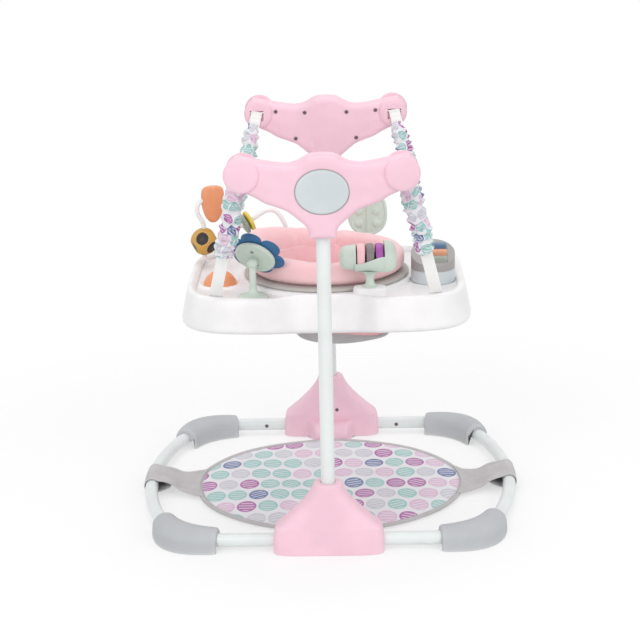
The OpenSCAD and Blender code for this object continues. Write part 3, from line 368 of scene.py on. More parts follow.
def belongs(piece, body, slot, *nodes):
    """Says what a piece rides on and what it stands for; the slot is not used."""
    if body is not None:
        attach(piece, body)
    if nodes:
        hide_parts(*nodes)


def add_piece(name, shape, body, slot, *nodes, looks=None, sharp=50):
    """Makes one piece of a shape, in its slot's finish or in those named, and says what it belongs to."""
    piece = finish(name, shape, looks or (slot,), sharp)
    belongs(piece, body, slot, *nodes)
    return piece


def dress(node, slot):
    """Gives a CAD node that stays a better finish."""
    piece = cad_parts[node]
    if not piece.material_slots:
        piece.data.materials.append(finish_of(slot))
    for place in piece.material_slots:
        place.material = finish_of(slot)


def thicken(piece, thick):
    """Gives a cloth sheet its thickness and returns the sheet's area."""
    area = sum(p.area for p in piece.data.polygons)
    step = piece.modifiers.new("Cloth thickness", "SOLIDIFY")
    step.thickness, step.offset = thick, 0.0
    return area


def cut(piece, cutter):
    """Takes a closed form out of a piece and keeps the result as a plain mesh."""
    step = piece.modifiers.new("Cut", "BOOLEAN")
    step.object, step.operation, step.solver = cutter, "DIFFERENCE", "EXACT"
    bpy.context.view_layer.update()
    made = bpy.data.meshes.new_from_object(piece.evaluated_get(bpy.context.evaluated_depsgraph_get()))
    piece.modifiers.remove(step)
    made.name = piece.name
    made.set_sharp_from_angle(angle=radians(40))
    piece.data = made
    bpy.data.objects.remove(cutter)


def points_of(piece):
    out = np.zeros(len(piece.data.vertices) * 3)
    piece.data.vertices.foreach_get("co", out)
    return out.reshape(-1, 3)


def puff(piece, pinned, pressure, cap, frames):
    """Blows up a closed cloth form; pinned points stay, and no point moves further than the cap."""
    scene = bpy.context.scene
    rest = points_of(piece)
    group = piece.vertex_groups.new(name="seams")
    group.add([int(i) for i in np.flatnonzero(pinned)], 1.0, "REPLACE")
    cloth = piece.modifiers.new("Cloth", "CLOTH")
    cloth.settings.vertex_group_mass = "seams"
    cloth.settings.use_pressure = True
    cloth.settings.uniform_pressure_force = pressure
    cloth.settings.tension_stiffness = cloth.settings.compression_stiffness = 12
    cloth.settings.bending_stiffness = 0.3
    cloth.settings.effector_weights.gravity = 0
    cloth.collision_settings.use_collision = False
    for k in range(1, frames + 1):
        scene.frame_set(k)
    made = piece.evaluated_get(bpy.context.evaluated_depsgraph_get())
    moved = np.zeros(len(made.data.vertices) * 3)
    made.data.vertices.foreach_get("co", moved)
    step = moved.reshape(-1, 3) - rest
    far = np.linalg.norm(step, axis=1)[:, None]
    step *= np.minimum(1, cap / np.maximum(far, 1e-9))
    piece.modifiers.remove(cloth)
    piece.vertex_groups.remove(group)
    scene.frame_set(1)
    piece.data.vertices.foreach_set("co", (rest + step).ravel())
    piece.data.update()


# Finishes

class Net:
    """Short ways to add and join nodes in one tree."""

    def __init__(self, tree):
        self.tree = tree

    def join(self, socket, value):
        if isinstance(value, bpy.types.NodeSocket):
            self.tree.links.new(value, socket)
        elif value is not None:
            socket.default_value = value

    def node(self, kind, inputs=None, **settings):
        made = self.tree.nodes.new(kind)
        for key, value in settings.items():
            setattr(made, key, value)
        for key, value in (inputs or {}).items():
            self.join(made.inputs[key], value)
        return made

    def sum(self, operation, *values):
        made = self.node("ShaderNodeMath", operation=operation)
        for k, value in enumerate(values):
            self.join(made.inputs[k], value)
        return made.outputs[0]

    def way(self, operation, *values):
        made = self.node("ShaderNodeVectorMath", operation=operation)
        for k, value in enumerate(values):
            self.join(made.inputs[3 if operation == "SCALE" and k == 1 else k], value)
        return made.outputs["Value"] if operation == "LENGTH" else made.outputs[0]

    def mix(self, factor, a, b):
        made = self.node("ShaderNodeMix", data_type="RGBA")
        for k, value in ((0, factor), (6, a), (7, b)):
            self.join(made.inputs[k], value)
        return made.outputs[2]

    def span(self, value, low, high, start=0.0, end=1.0):
        made = self.node("ShaderNodeMapRange", interpolation_type="SMOOTHSTEP")
        for k, item in enumerate((value, low, high, start, end)):
            self.join(made.inputs[k], item)
        return made.outputs[0]

    def noise(self, place, scale, detail=2.0):
        return self.node("ShaderNodeTexNoise", {"Vector": place, "Scale": scale, "Detail": detail}).outputs[0]

    def bump(self, height, strength, distance):
        return self.node("ShaderNodeBump", {
            "Height": height, "Strength": strength, "Distance": distance}).outputs[0]


SURFACE = [("Color", "NodeSocketColor"), ("Roughness", "NodeSocketFloat"), ("Normal", "NodeSocketVector")]


def shared(name, gives, takes):
    """A shader node group with its sockets; returns its net, its inputs and its output node."""
    tree = bpy.data.node_groups.new(name, "ShaderNodeTree")
    for label, kind, value in gives:
        tree.interface.new_socket(label, in_out="INPUT", socket_type=kind).default_value = value
    for label, kind in takes:
        tree.interface.new_socket(label, in_out="OUTPUT", socket_type=kind)
    net = Net(tree)
    return net, net.node("NodeGroupInput").outputs, net.node("NodeGroupOutput").inputs


def moulded_group():
    """Moulded plastic and paint: fine grain, broad mottling, and a painted highlight that makes convex edges
    paler.
    """
    name = "Moulded surface"
    if name in bpy.data.node_groups:
        return bpy.data.node_groups[name]
    net, given, out = shared(name, [
        ("Color", "NodeSocketColor", (0.8, 0.8, 0.8, 1)), ("Roughness", "NodeSocketFloat", 0.4),
        ("Grain", "NodeSocketFloat", 700.0), ("Depth", "NodeSocketFloat", 0.1)], SURFACE)
    place = net.node("ShaderNodeTexCoord").outputs["Object"]
    fine, broad = net.noise(place, given["Grain"], 3.0), net.noise(place, 14.0, 4.0)
    # Painted highlight: convex edges, found by pointiness, are mixed up to 18 per cent towards white.
    edge = net.span(net.node("ShaderNodeNewGeometry").outputs["Pointiness"], 0.51, 0.57)
    deep = net.way("SCALE", given["Color"], 0.94)
    tone = net.mix(net.span(broad, 0.35, 0.65), deep, given["Color"])
    net.join(out["Color"], net.mix(net.sum("MULTIPLY", edge, 0.18), tone, (1.0, 1.0, 1.0, 1)))
    scuff = net.sum("MULTIPLY", net.sum("SUBTRACT", broad, 0.5), 0.22)
    net.join(out["Roughness"], net.sum("ADD", net.sum("ADD", given["Roughness"], scuff),
                                       net.sum("MULTIPLY", net.sum("SUBTRACT", fine, 0.5), 0.12)))
    net.join(out["Normal"], net.bump(fine, given["Depth"], 0.0006))
    return net.tree


def woven_group():
    """Plain weave on the cloth's own coordinates, with slubs, and a painted highlight where the broad folds
    rise.
    """
    name = "Woven cloth"
    if name in bpy.data.node_groups:
        return bpy.data.node_groups[name]
    net, given, out = shared(name, [
        ("Color", "NodeSocketColor", (0.8, 0.8, 0.8, 1)), ("Thread", "NodeSocketFloat", 0.0014),
        ("Depth", "NodeSocketFloat", 0.3)], SURFACE)
    place = net.node("ShaderNodeTexCoord").outputs["UV"]
    apart = net.node("ShaderNodeSeparateXYZ", {0: place}).outputs
    threads = [net.sum("DIVIDE", apart[k], given["Thread"]) for k in (0, 1)]
    turns = [net.sum("SINE", net.sum("MULTIPLY", thread, pi)) for thread in threads]
    weave = net.span(net.sum("MULTIPLY", turns[0], turns[1]), -1.0, 1.0)
    slub, fold = net.noise(place, 160.0, 4.0), net.noise(place, 26.0, 3.0)
    deep = net.way("SCALE", given["Color"], 0.94)
    tone = net.mix(net.sum("MULTIPLY", weave, net.span(slub, 0.2, 0.7)), deep, given["Color"])
    # Painted highlight: the colour turns up to a tenth paler where the fold noise, which also raises the
    # bump, is high.
    net.join(out["Color"], net.mix(net.span(fold, 0.3, 0.7, 0.0, 0.1), tone, (1.0, 1.0, 1.0, 1)))
    net.join(out["Roughness"], net.span(slub, 0.0, 1.0, 0.78, 0.95))
    height = net.sum("ADD", net.sum("MULTIPLY", weave, 0.5), net.sum("MULTIPLY", fold, 0.9))
    net.join(out["Normal"], net.bump(height, given["Depth"], 0.0012))
    return net.tree


PRINT_HUES = ("teal", "plum", "lilac", "rose", "teal", "indigo", "lilac", "plum", "teal", "rose")


def print_group():
    """Striped pebbles scattered in brick rows on a pale ground, each in one of a few colours."""
    name = "Pebble print"
    if name in bpy.data.node_groups:
        return bpy.data.node_groups[name]
    hues = colours()
    net, given, out = shared(name, [
        ("Across", "NodeSocketFloat", 0.044), ("Along", "NodeSocketFloat", 0.062)], SURFACE[:1])
    apart = net.node("ShaderNodeSeparateXYZ", {0: net.node("ShaderNodeTexCoord").outputs["UV"]}).outputs
    p = net.sum("DIVIDE", apart[0], given["Across"])
    q = net.sum("DIVIDE", apart[1], given["Along"])
    row = net.sum("FLOOR", q)
    p = net.sum("ADD", p, net.sum("MULTIPLY", net.sum("FLOORED_MODULO", row, 2.0), 0.5))
    cell = net.node("ShaderNodeCombineXYZ", {0: net.sum("FLOOR", p), 1: row}).outputs[0]
    pick = net.node("ShaderNodeTexWhiteNoise", {"Vector": cell}, noise_dimensions="2D").outputs
    x = net.sum("SUBTRACT", net.sum("FRACT", p), 0.5)
    y = net.sum("SUBTRACT", net.sum("FRACT", q), 0.5)
    chance = net.node("ShaderNodeSeparateColor", {0: pick["Color"]}).outputs[1]
    lean = net.sum("MULTIPLY", net.sum("SUBTRACT", chance, 0.5), 0.9)
    spun = net.node("ShaderNodeVectorRotate", {
        "Vector": net.node("ShaderNodeCombineXYZ", {0: x, 1: y}).outputs[0], "Angle": lean},
        rotation_type="Z_AXIS").outputs[0]
    local = net.node("ShaderNodeSeparateXYZ", {0: spun}).outputs
    reach = net.way("LENGTH", net.node("ShaderNodeCombineXYZ", {
        0: net.sum("MULTIPLY", local[0], 0.98), 1: net.sum("MULTIPLY", local[1], 1.04)}).outputs[0])
    inside = net.span(reach, 0.43, 0.47, 1.0, 0.0)
    bars = net.span(net.sum("SINE", net.sum("MULTIPLY", local[1], 34.0)), 0.35, 0.75)
    bars = net.sum("MULTIPLY", bars, net.span(reach, 0.34, 0.38, 1.0, 0.0))
    ramp = net.node("ShaderNodeValToRGB", {0: pick["Value"]})
    ramp.color_ramp.interpolation = "CONSTANT"
    steps = [getattr(hues, key) for key in PRINT_HUES]
    while len(ramp.color_ramp.elements) < len(steps):
        ramp.color_ramp.elements.new(0.5)
    for k, hue in enumerate(steps):
        ramp.color_ramp.elements[k].position = k / len(steps)
        ramp.color_ramp.elements[k].color = hue[:]
    motif = net.mix(net.sum("MULTIPLY", bars, 0.85), ramp.outputs[0], hues.ground[:])
    net.join(out["Color"], net.mix(inside, hues.ground[:], motif))
    return net.tree


def material(name, build):
    """A material by name, built once."""
    if name in bpy.data.materials:
        return bpy.data.materials[name]
    made = bpy.data.materials.new(name)
    made.use_nodes = True
    net = Net(made.node_tree)
    build(net, made.node_tree.nodes["Principled BSDF"].inputs)
    return made


def surfaced(net, skin, group, inputs):
    """Feeds a skin's colour, roughness and normal from a surface group with those inputs."""
    made = net.node("ShaderNodeGroup", inputs, node_tree=group)
    for socket, output in (("Base Color", "Color"), ("Roughness", "Roughness"), ("Normal", "Normal")):
        net.join(skin[socket], made.outputs[output])


def moulded(name, hue, roughness, grain, depth, coat=0.0, metallic=0.0):
    def build(net, skin):
        surfaced(net, skin, moulded_group(), {
            "Color": hue[:], "Roughness": roughness, "Grain": grain, "Depth": depth})
        skin["Coat Weight"].default_value = coat
        skin["Metallic"].default_value = metallic
    return material(name, build)


def woven(name, hue, thread, depth, sheen=0.25, printed=None):
    def build(net, skin):
        colour = hue[:]
        if printed:
            across, along = mm(printed)
            colour = net.node("ShaderNodeGroup", node_tree=print_group())
            colour.inputs["Across"].default_value, colour.inputs["Along"].default_value = across, along
            colour = colour.outputs["Color"]
        surfaced(net, skin, woven_group(), {"Color": colour, "Thread": thread * MM, "Depth": depth})
        skin["Sheen Weight"].default_value = sheen
    return material(name, build)


# Name, colour, roughness, grain and its depth, and coat and metal where there are any
MOULDED = {
    "tube_paint": ("Painted steel", "steel", 0.34, 900, 0.05, 0.15),
    "pink_plastic": ("Pink plastic", "pink", 0.56, 1100, 0.08),
    "grey_plastic": ("Grey plastic", "grey", 0.55, 800, 0.16),
    "badge_grey": ("Plate grey", "plate", 0.4, 1200, 0.06),
    "screw_dark": ("Dark screw", "screw", 0.45, 1500, 0.05, 0.0, 0.2),
    "spring_steel": ("Spring steel", "steel", 0.28, 1600, 0.05, 0.0, 1.0),
    "tray_white": ("White plastic", "white", 0.36, 1000, 0.06, 0.1),
    "ring_taupe": ("Ring grey", "ring", 0.5, 900, 0.12),
    "sage_plastic": ("Sage plastic", "sage", 0.42, 1000, 0.08),
    "sage_dark": ("Dark sage plastic", "sage_dark", 0.45, 1000, 0.08),
    "blue_plastic": ("Blue plastic", "blue", 0.4, 1000, 0.08),
    "roller_coral": ("Coral roller", "coral", 0.4, 1000, 0.08),
    "roller_dark": ("Grey roller", "pod", 0.45, 1000, 0.08),
    "roller_violet": ("Violet roller", "violet", 0.4, 1000, 0.08),
    "orange_plastic": ("Orange plastic", "orange", 0.4, 1000, 0.08),
    "ochre_plastic": ("Ochre plastic", "ochre", 0.42, 1000, 0.08),
    "yellow_plastic": ("Yellow plastic", "yellow", 0.4, 1000, 0.08),
    "pod_cover": ("Pod cover", "pod", 0.5, 900, 0.12),
    "pod_grey": ("Pod grey", "plate", 0.42, 1000, 0.08),
    # Painted shade: this dark finish stands for shade in the roller gaps, on the roller shaft, in the tray
    # slots and in the cage ball's windows.
    "dark_plastic": ("Dark plastic", "dark", 0.5, 1000, 0.1),
}
# Name, colour, thread in millimetres, depth of the weave, sheen, and the print's repeat in millimetres
WOVEN = {
    "webbing": ("Webbing", "webbing", 2.2, 0.3, 0.1),
    "sleeve_cloth": ("Printed sleeve", "ground", 1.4, 0.3, 0.25, (30, 42)),
    "mat_cloth": ("Printed mat", "ground", 1.4, 0.3, 0.25, (46, 64)),
    "wing_cloth": ("Taupe cloth", "taupe", 1.8, 0.4),
    "seat_cloth": ("Coral cloth", "coral", 1.3, 0.3, 0.35),
    "thread": ("Thread", "thread", 0.4, 0.4),
}


def finish_of(slot):
    """The finish of one of the record's material slots, or of a detail of a piece."""
    if slot == "floor":
        return material("Pale floor", JUMPER_OT_stage.floor_finish)
    make, table = (woven, WOVEN) if slot in WOVEN else (moulded, MOULDED)
    name, hue, *numbers = table[slot]
    return make(name, getattr(colours(), hue), *numbers)


# Repeats made with geometry nodes

def repeat_tree(name, gives):
    tree = bpy.data.node_groups.new(name, "GeometryNodeTree")
    tree.interface.new_socket("Geometry", in_out="INPUT", socket_type="NodeSocketGeometry")
    for label, kind, value in gives:
        made = tree.interface.new_socket(label, in_out="INPUT", socket_type=kind)
        if value is not None:
            made.default_value = value
    tree.interface.new_socket("Geometry", in_out="OUTPUT", socket_type="NodeSocketGeometry")
    net = Net(tree)
    return net, net.node("NodeGroupInput").outputs, net.node("NodeGroupOutput").inputs


def close_repeat(net, given, out, points, item, turned):
    many = net.node("GeometryNodeInstanceOnPoints", {"Points": points, "Instance": item, "Rotation": turned})
    real = net.node("GeometryNodeRealizeInstances", {0: many.outputs[0]})
    soft = net.node("GeometryNodeSetShadeSmooth", {0: real.outputs[0]})
    done = net.node("GeometryNodeSetMaterial", {"Geometry": soft.outputs[0], "Material": given["Material"]})
    net.join(out[0], done.outputs[0])


def screw_tree():
    """A domed screw head with a cross recess on each point, looking along the point's aim."""
    name = "Screw heads"
    if name in bpy.data.node_groups:
        return bpy.data.node_groups[name]
    net, given, out = repeat_tree(name, [
        ("Diameter", "NodeSocketFloat", 9 * MM), ("Height", "NodeSocketFloat", 1.6 * MM),
        ("Material", "NodeSocketMaterial", None)])
    half = net.sum("MULTIPLY", given["Diameter"], 0.5)
    ball = net.node("GeometryNodeMeshUVSphere", {"Segments": 24, "Rings": 12, "Radius": half})
    flat = net.node("ShaderNodeCombineXYZ", {0: 1.0, 1: 1.0, 2: net.sum("DIVIDE", given["Height"], half)})
    head = net.node("GeometryNodeTransform", {"Geometry": ball.outputs[0], "Scale": flat.outputs[0]})
    slim = net.sum("MULTIPLY", given["Diameter"], 0.14)
    wide = net.sum("MULTIPLY", given["Diameter"], 0.56)
    up = net.node("ShaderNodeCombineXYZ", {2: given["Height"]})
    bars = []
    for a, b in ((slim, wide), (wide, slim)):
        bar = net.node("GeometryNodeMeshCube", {
            "Size": net.node("ShaderNodeCombineXYZ", {0: a, 1: b, 2: given["Height"]}).outputs[0]})
        bars.append(net.node("GeometryNodeTransform", {
            "Geometry": bar.outputs[0], "Translation": up.outputs[0]}).outputs[0])
    cut = net.node("GeometryNodeMeshBoolean", operation="DIFFERENCE")
    net.join(cut.inputs["Mesh 1"], head.outputs[0])
    for bar in bars:
        net.join(cut.inputs["Mesh 2"], bar)
    aim = net.node("GeometryNodeInputNamedAttribute", {"Name": "aim"}, data_type="FLOAT_VECTOR")
    turned = net.node("FunctionNodeAlignRotationToVector", {"Vector": aim.outputs[0]}, axis="Z")
    close_repeat(net, given, out, given["Geometry"], cut.outputs[0], turned.outputs[0])
    return net.tree


def stitch_tree():
    """A row of thread stitches along each edge line."""
    name = "Stitches"
    if name in bpy.data.node_groups:
        return bpy.data.node_groups[name]
    net, given, out = repeat_tree(name, [
        ("Spacing", "NodeSocketFloat", 4 * MM), ("Length", "NodeSocketFloat", 2.8 * MM),
        ("Thread", "NodeSocketFloat", 0.7 * MM), ("Material", "NodeSocketMaterial", None)])
    line = net.node("GeometryNodeMeshToCurve", {"Mesh": given["Geometry"]})
    even = net.node("GeometryNodeResampleCurve", {
        "Curve": line.outputs[0], "Length": given["Spacing"]}, mode="LENGTH")
    half = net.sum("MULTIPLY", given["Thread"], 0.5)
    ball = net.node("GeometryNodeMeshUVSphere", {"Segments": 8, "Rings": 6, "Radius": half})
    share = net.sum("DIVIDE", given["Length"], given["Thread"])
    long = net.node("ShaderNodeCombineXYZ", {0: share, 1: 1.0, 2: 1.0})
    item = net.node("GeometryNodeTransform", {"Geometry": ball.outputs[0], "Scale": long.outputs[0]})
    turned = net.node("FunctionNodeAlignRotationToVector", {
        "Vector": net.node("GeometryNodeInputTangent").outputs[0]}, axis="X")
    close_repeat(net, given, out, even.outputs[0], item.outputs[0], turned.outputs[0])
    return net.tree


def repeat(name, tree, points, edges, aims, inputs):
    """Runs a repeat on points or edge lines and keeps its result as a plain mesh."""
    mesh = bpy.data.meshes.new(name + "_path")
    mesh.from_pydata(np.asarray(points).tolist(), edges, [])
    if aims is not None:
        mesh.attributes.new("aim", "FLOAT_VECTOR", "POINT").data.foreach_set(
            "vector", np.asarray(aims, np.float32).ravel())
    source = bpy.data.objects.new(name + "_path", mesh)
    bpy.context.scene.collection.objects.link(source)
    step = source.modifiers.new("Repeat", "NODES")
    step.node_group = tree
    for item in tree.interface.items_tree:
        if item.item_type == "SOCKET" and item.in_out == "INPUT" and item.name in inputs:
            step[item.identifier] = inputs[item.name]
    bpy.context.view_layer.update()
    ready = source.evaluated_get(bpy.context.evaluated_depsgraph_get())
    made = bpy.data.objects.new(name, bpy.data.meshes.new_from_object(ready))
    made.data.name = name
    bpy.context.scene.collection.objects.link(made)
    source.modifiers.remove(step)
    bpy.data.objects.remove(source)
    return made


def stitched(name, lines, body, slot, **inputs):
    points, edges = [], []
    for line in lines:
        edges += [(len(points) + k, len(points) + k + 1) for k in range(len(line) - 1)]
        points += list(line)
    given = {"Material": finish_of("thread"), **inputs}
    made = repeat(name, stitch_tree(), points, edges, None, given)
    belongs(made, body, slot)
    return made


# Stage

class JUMPER_OT_stage(bpy.types.Operator):
    """Camera at the photograph's view, a pale floor that fades out, and soft studio light"""

    bl_idname = "jumper.stage"
    bl_label = "Stage"

    # The camera fitted to the photograph: focal length in pixels of a 640 pixel picture, place and axes
    FOCAL, PIXELS, SENSOR, PLACE = 1800, 640, 36, [0.0544, -3.7353, 1.4396]
    RIGHT, UP = [0.9997, 0.0133, -0.0195], [0.0151, 0.2729, 0.9619]
    # Name, place, diameter and power of each lamp, and the point that all aim at
    LAMPS = [("Key", (-1.5, -3.4, 2.4), 2.4, 40), ("Fill", (2.2, -2.6, 1.9), 2.2, 23),
             ("Top", (0.0, 1.2, 3.6), 2.8, 28)]
    LAMPS_AIM = (0, 0, 0.4)

    def execute(self, context):
        scene = context.scene
        lens = bpy.data.cameras.new("Camera")
        lens.sensor_width = self.SENSOR
        lens.lens = self.SENSOR * self.FOCAL / self.PIXELS
        lens.clip_end = 60
        camera = bpy.data.objects.new("Camera", lens)
        scene.collection.objects.link(camera)
        right = np.array(self.RIGHT) / np.linalg.norm(self.RIGHT)
        back = np.cross(right, self.UP)
        back /= np.linalg.norm(back)
        up = np.cross(back, right)
        place = np.eye(4)
        place[:3, 0], place[:3, 1], place[:3, 2] = right, up, back
        place[:3, 3] = self.PLACE
        camera.matrix_world = Matrix(place.tolist())
        scene.camera = camera
        scene.view_settings.view_transform = "Standard"

        world = bpy.data.worlds.new("Studio")
        scene.world = world
        world.use_nodes = True
        net = Net(world.node_tree)
        sky = world.node_tree.nodes["Background"]
        seen = net.node("ShaderNodeLightPath").outputs
        plain = net.sum("MAXIMUM", seen["Is Glossy Ray"], seen["Is Transmission Ray"])
        plain = net.sum("MAXIMUM", seen["Is Camera Ray"], plain)
        net.join(sky.inputs["Strength"], net.sum("MAXIMUM", plain, 0.7))
        sky.inputs["Color"].default_value = (1, 1, 1, 1)

        floor = Shape().skin(lathe([(0, 0), (0.7, 0), (1.6, 0)], 96))
        ground = finish("floor", floor, ["floor"], facing=(0, 0, 1))
        ground.location.z = -0.2 * MM
        for name, at, wide, power in self.LAMPS:
            lamp = bpy.data.lights.new(name, "AREA")
            lamp.shape, lamp.size, lamp.energy = "DISK", wide, power
            made = bpy.data.objects.new(name, lamp)
            scene.collection.objects.link(made)
            made.location = at
            x, y, z = np.subtract(at, self.LAMPS_AIM)
            made.rotation_euler = (atan2(hypot(x, y), z), 0, atan2(x, -y))
        return {"FINISHED"}

    @staticmethod
    def floor_finish(net, skin):
        place = net.node("ShaderNodeTexCoord").outputs["Object"]
        far = net.way("LENGTH", place)
        speck = net.noise(place, 60.0)
        net.join(skin["Base Color"], net.mix(speck, (0.97, 0.97, 0.97, 1), (0.99, 0.99, 0.99, 1)))
        skin["Roughness"].default_value = 0.9
        skin["Specular IOR Level"].default_value = 0.0
        net.join(skin["Alpha"], net.span(far, 0.6, 1.4, 0.5, 0.0))


# Base

def post_y():
    return sizes().post_gap / 2


def ring_facts():
    """Corner level, bend angle and the side arc's radius and middle."""
    s = sizes()
    corner_y = post_y() - s.corner_r
    bend = pi / 2 - 2 * atan(s.side_bow / corner_y)
    side_r = s.corner_r + corner_y / cos(bend)
    return corner_y, bend, side_r, s.base_w / 2 - side_r


def straight_half():
    s = sizes()
    return s.base_w / 2 - s.corner_r - s.side_bow


def corner_point(t):
    """Place and outward direction of a corner bend's axis, t radians from its start."""
    r, corner_y = sizes().corner_r, ring_facts()[0]
    return np.array([straight_half() + r * sin(t), corner_y + r * cos(t), pi / 2 - t])


class JUMPER_OT_base_tubes(bpy.types.Operator):
    """Two bent base tubes"""

    bl_idname = "jumper.base_tubes"
    bl_label = "Base tubes"

    def execute(self, context):
        s = sizes()
        corner_y, bend, side_r, side_x = ring_facts()
        half = [(s.tube_end, post_y(), pi / 2), (straight_half() / 2, post_y(), pi / 2)]
        half += [corner_point(t) for t in np.linspace(0, bend, 24)]
        half += [(side_x + side_r * cos(a), side_r * sin(a), a)
                 for a in np.linspace(pi / 2 - bend, 0, 14)[1:]]
        half = np.array(half)
        x, y, aim = np.vstack([half, (half * [1, -1, -1])[-2::-1]]).T[:, :, None]
        across, up = s.tube_d / 2 * np.cos(turn(32)), s.tube_d / 2 * np.sin(turn(32))
        for side, name in FLANKS:
            rows = np.stack(np.broadcast_arrays(
                side * (x + across * np.cos(aim)), y + across * np.sin(aim), s.tube_z + up), 2)
            shape = Shape().skin(rows, ends=True)
            add_piece(f"tube_{name}", shape, "frame", "tube_paint", f"base_tube_{name}", sharp=38)
        for node in ("post_front", "post_back"):
            dress(node, "tube_paint")
        return {"FINISHED"}


class JUMPER_OT_feet(bpy.types.Operator):
    """Four hollow corner feet with rounded tops and ends"""

    bl_idname = "jumper.feet"
    bl_label = "Feet"

    BULGE, CLEARANCE, END_ANGLE, EVEN_STEPS = 19 * MM, 0.6 * MM, 0.09, 26
    # Distance from a foot's end, and how far the section is drawn in there
    END = [(0, 5.5), (0.8, 3.2), (2.4, 1.4), (5.5, 0.3), (9, 0)]

    def outline(self, s, full, draw):
        """A foot's outer section, bulged by that share and drawn in by that length."""
        dome = (s.foot_in + s.foot_out) / 2
        out = s.foot_out + self.BULGE * full ** 1.4
        half, high = (s.foot_in + out) / 2, s.foot_h + 3 * MM * full
        mid = out - half
        points = [(out + 1 * MM, 0.0), (out + 1.2 * MM, 6 * MM), (out, high - dome)]
        points += [(mid + half * cos(v), high - dome + dome * sin(v))
                   for v in np.linspace(0.12, pi - 0.12, 17)]
        points += [(-s.foot_in, high - dome), (-s.foot_in - 0.6 * MM, 6 * MM), (-s.foot_in - 1 * MM, 0.0)]
        points = np.array(points)
        way = points - [mid, s.foot_h * 0.45]
        points -= way / np.linalg.norm(way, axis=1)[:, None] * draw
        points[:, 1] = np.maximum(points[:, 1], 0)
        return points

    def execute(self, context):
        s = sizes()
        bend, start = ring_facts()[1], s.foot_setback / s.corner_r
        hole, wall = s.tube_d / 2 + self.CLEARANCE, s.foot_wall
        inner = [(wall - s.foot_in, 0.0), (wall - s.foot_in, s.tube_z)]
        inner += [(hole * cos(t), s.tube_z + hole * sin(t)) for t in np.linspace(pi, 0, 15)]
        inner += [(s.foot_out - wall, s.tube_z), (s.foot_out - wall, 0.0)]
        ends, draws = mm(self.END).T
        ends = ends / s.corner_r
        even = np.linspace(start + self.END_ANGLE, bend - self.END_ANGLE, self.EVEN_STEPS)
        stops = np.concatenate([start + ends, even, bend - ends[::-1]])
        shrink = np.concatenate([draws, np.zeros(self.EVEN_STEPS), draws[::-1]])
        rows = []
        for t, draw in zip(stops, shrink):
            x, y, aim = corner_point(t)
            full = sin(pi * (t - start) / (bend - start))
            far, z = np.vstack([self.outline(s, full, draw), inner]).T
            rows.append(np.stack([x + far * cos(aim), y + far * sin(aim), z], 1))
        for side, end, name in CORNERS:
            shape = Shape().skin(np.array(rows) * [side, end, 1], ends=True)
            add_piece(f"foot_shell_{name}", shape, "frame", "grey_plastic", f"foot_{name}")
        return {"FINISHED"}


class JUMPER_OT_housings(bpy.types.Operator):
    """Two base housings that rise from a box to a collar, with a rounded toe inside"""

    bl_idname = "jumper.housings"
    bl_label = "Base housings"

    SIDE_EASE, SLOPE_POWER, DEPTH_POWER, TOE_FLAT, COUNT = 0.05, 1.5, 0.8, 0.6, 144
    LEVELS = [0, 0.5, 1.2, 2.2, *np.linspace(5, 34, 12), *np.linspace(35, 44, 14), *np.linspace(46, 60, 10),
              *np.linspace(62, 140, 30), 142, 144, 145.2, 146]
    FOOT_INSETS, TOP_INSETS = [1.4, 0.6, 0.15], [0.5, 1.8, 4.2]
    MOUTH = [(3, 0), (0.6, 1.5), (0.4, 6)]
    CUFF = [(14.3, -2.4, 0.6), (17, -2.4, 0.6), (17, 84, 0.6), (14.3, 84, 0.6)]

    def ring(self, z, inset):
        s = sizes()
        a = turn(self.COUNT)
        slope = min(1.0, max(0.0, (z - s.housing_side_h) / (s.housing_h - s.housing_side_h)))
        up = min(1.0, z / s.housing_side_h)
        collar = s.collar_d / 2 + 2.5 * MM
        half = s.housing_w / 2 * (1 - self.SIDE_EASE * up ** 4)
        if slope > 0:
            half = collar + (half - collar) * (1 - slope) ** self.SLOPE_POWER
        out, inn = (collar + (reach - collar) * (1 - slope) ** self.DEPTH_POWER - inset
                    for reach in (s.housing_out, s.housing_in))
        half -= inset
        power = 2 + 3 * (1 - slope)
        deep = np.where(np.sin(a) > 0, out, inn)
        r = ((np.abs(np.cos(a)) / half) ** power + (np.abs(np.sin(a)) / deep) ** power) ** (-1 / power)
        x, y = r * np.cos(a), r * np.sin(a)
        toe = s.toe_reach * sqrt(max(0.0, 1 - min(1.0, z / s.toe_h) ** 4))
        spread = (np.abs(x) / (s.toe_w / 2) - self.TOE_FLAT) / (1 - self.TOE_FLAT)
        y = y - np.where(np.sin(a) < 0, toe * (1 - ease(spread)), 0)
        return np.stack([x, y, np.full(len(a), z)], 1)

    def execute(self, context):
        s = sizes()
        top, bore = s.housing_h, s.tube_d / 2
        insets = np.zeros(len(self.LEVELS))
        insets[:3], insets[-3:] = mm(self.FOOT_INSETS), mm(self.TOP_INSETS)
        rows = [self.ring(z, inset) for z, inset in zip(mm(self.LEVELS), insets)]
        mouth = [(bore + out, top - down) for out, down in mm(self.MOUTH)]
        rows += list(lathe(mouth, self.COUNT))
        for end, name in ENDS:
            shape = Shape().skin(np.array(rows) * [1, end, 1] + [0, end * post_y(), 0], ends=True)
            add_piece(f"housing_{name}", shape, "frame", "pink_plastic", f"base_housing_{name}", sharp=60)
        dress("base_plates", "grey_plastic")
        cuffs = Shape()
        for end in SIDES:
            cuffs.skin(lathe(eased(self.CUFF), 72) + [0, end * post_y(), s.head_z], closed=True)
        add_piece("post_cuffs", cuffs, "frame", "pink_plastic", "post_sleeves")
        return {"FINISHED"}


# Heads

ARM_INSET = 3 * MM
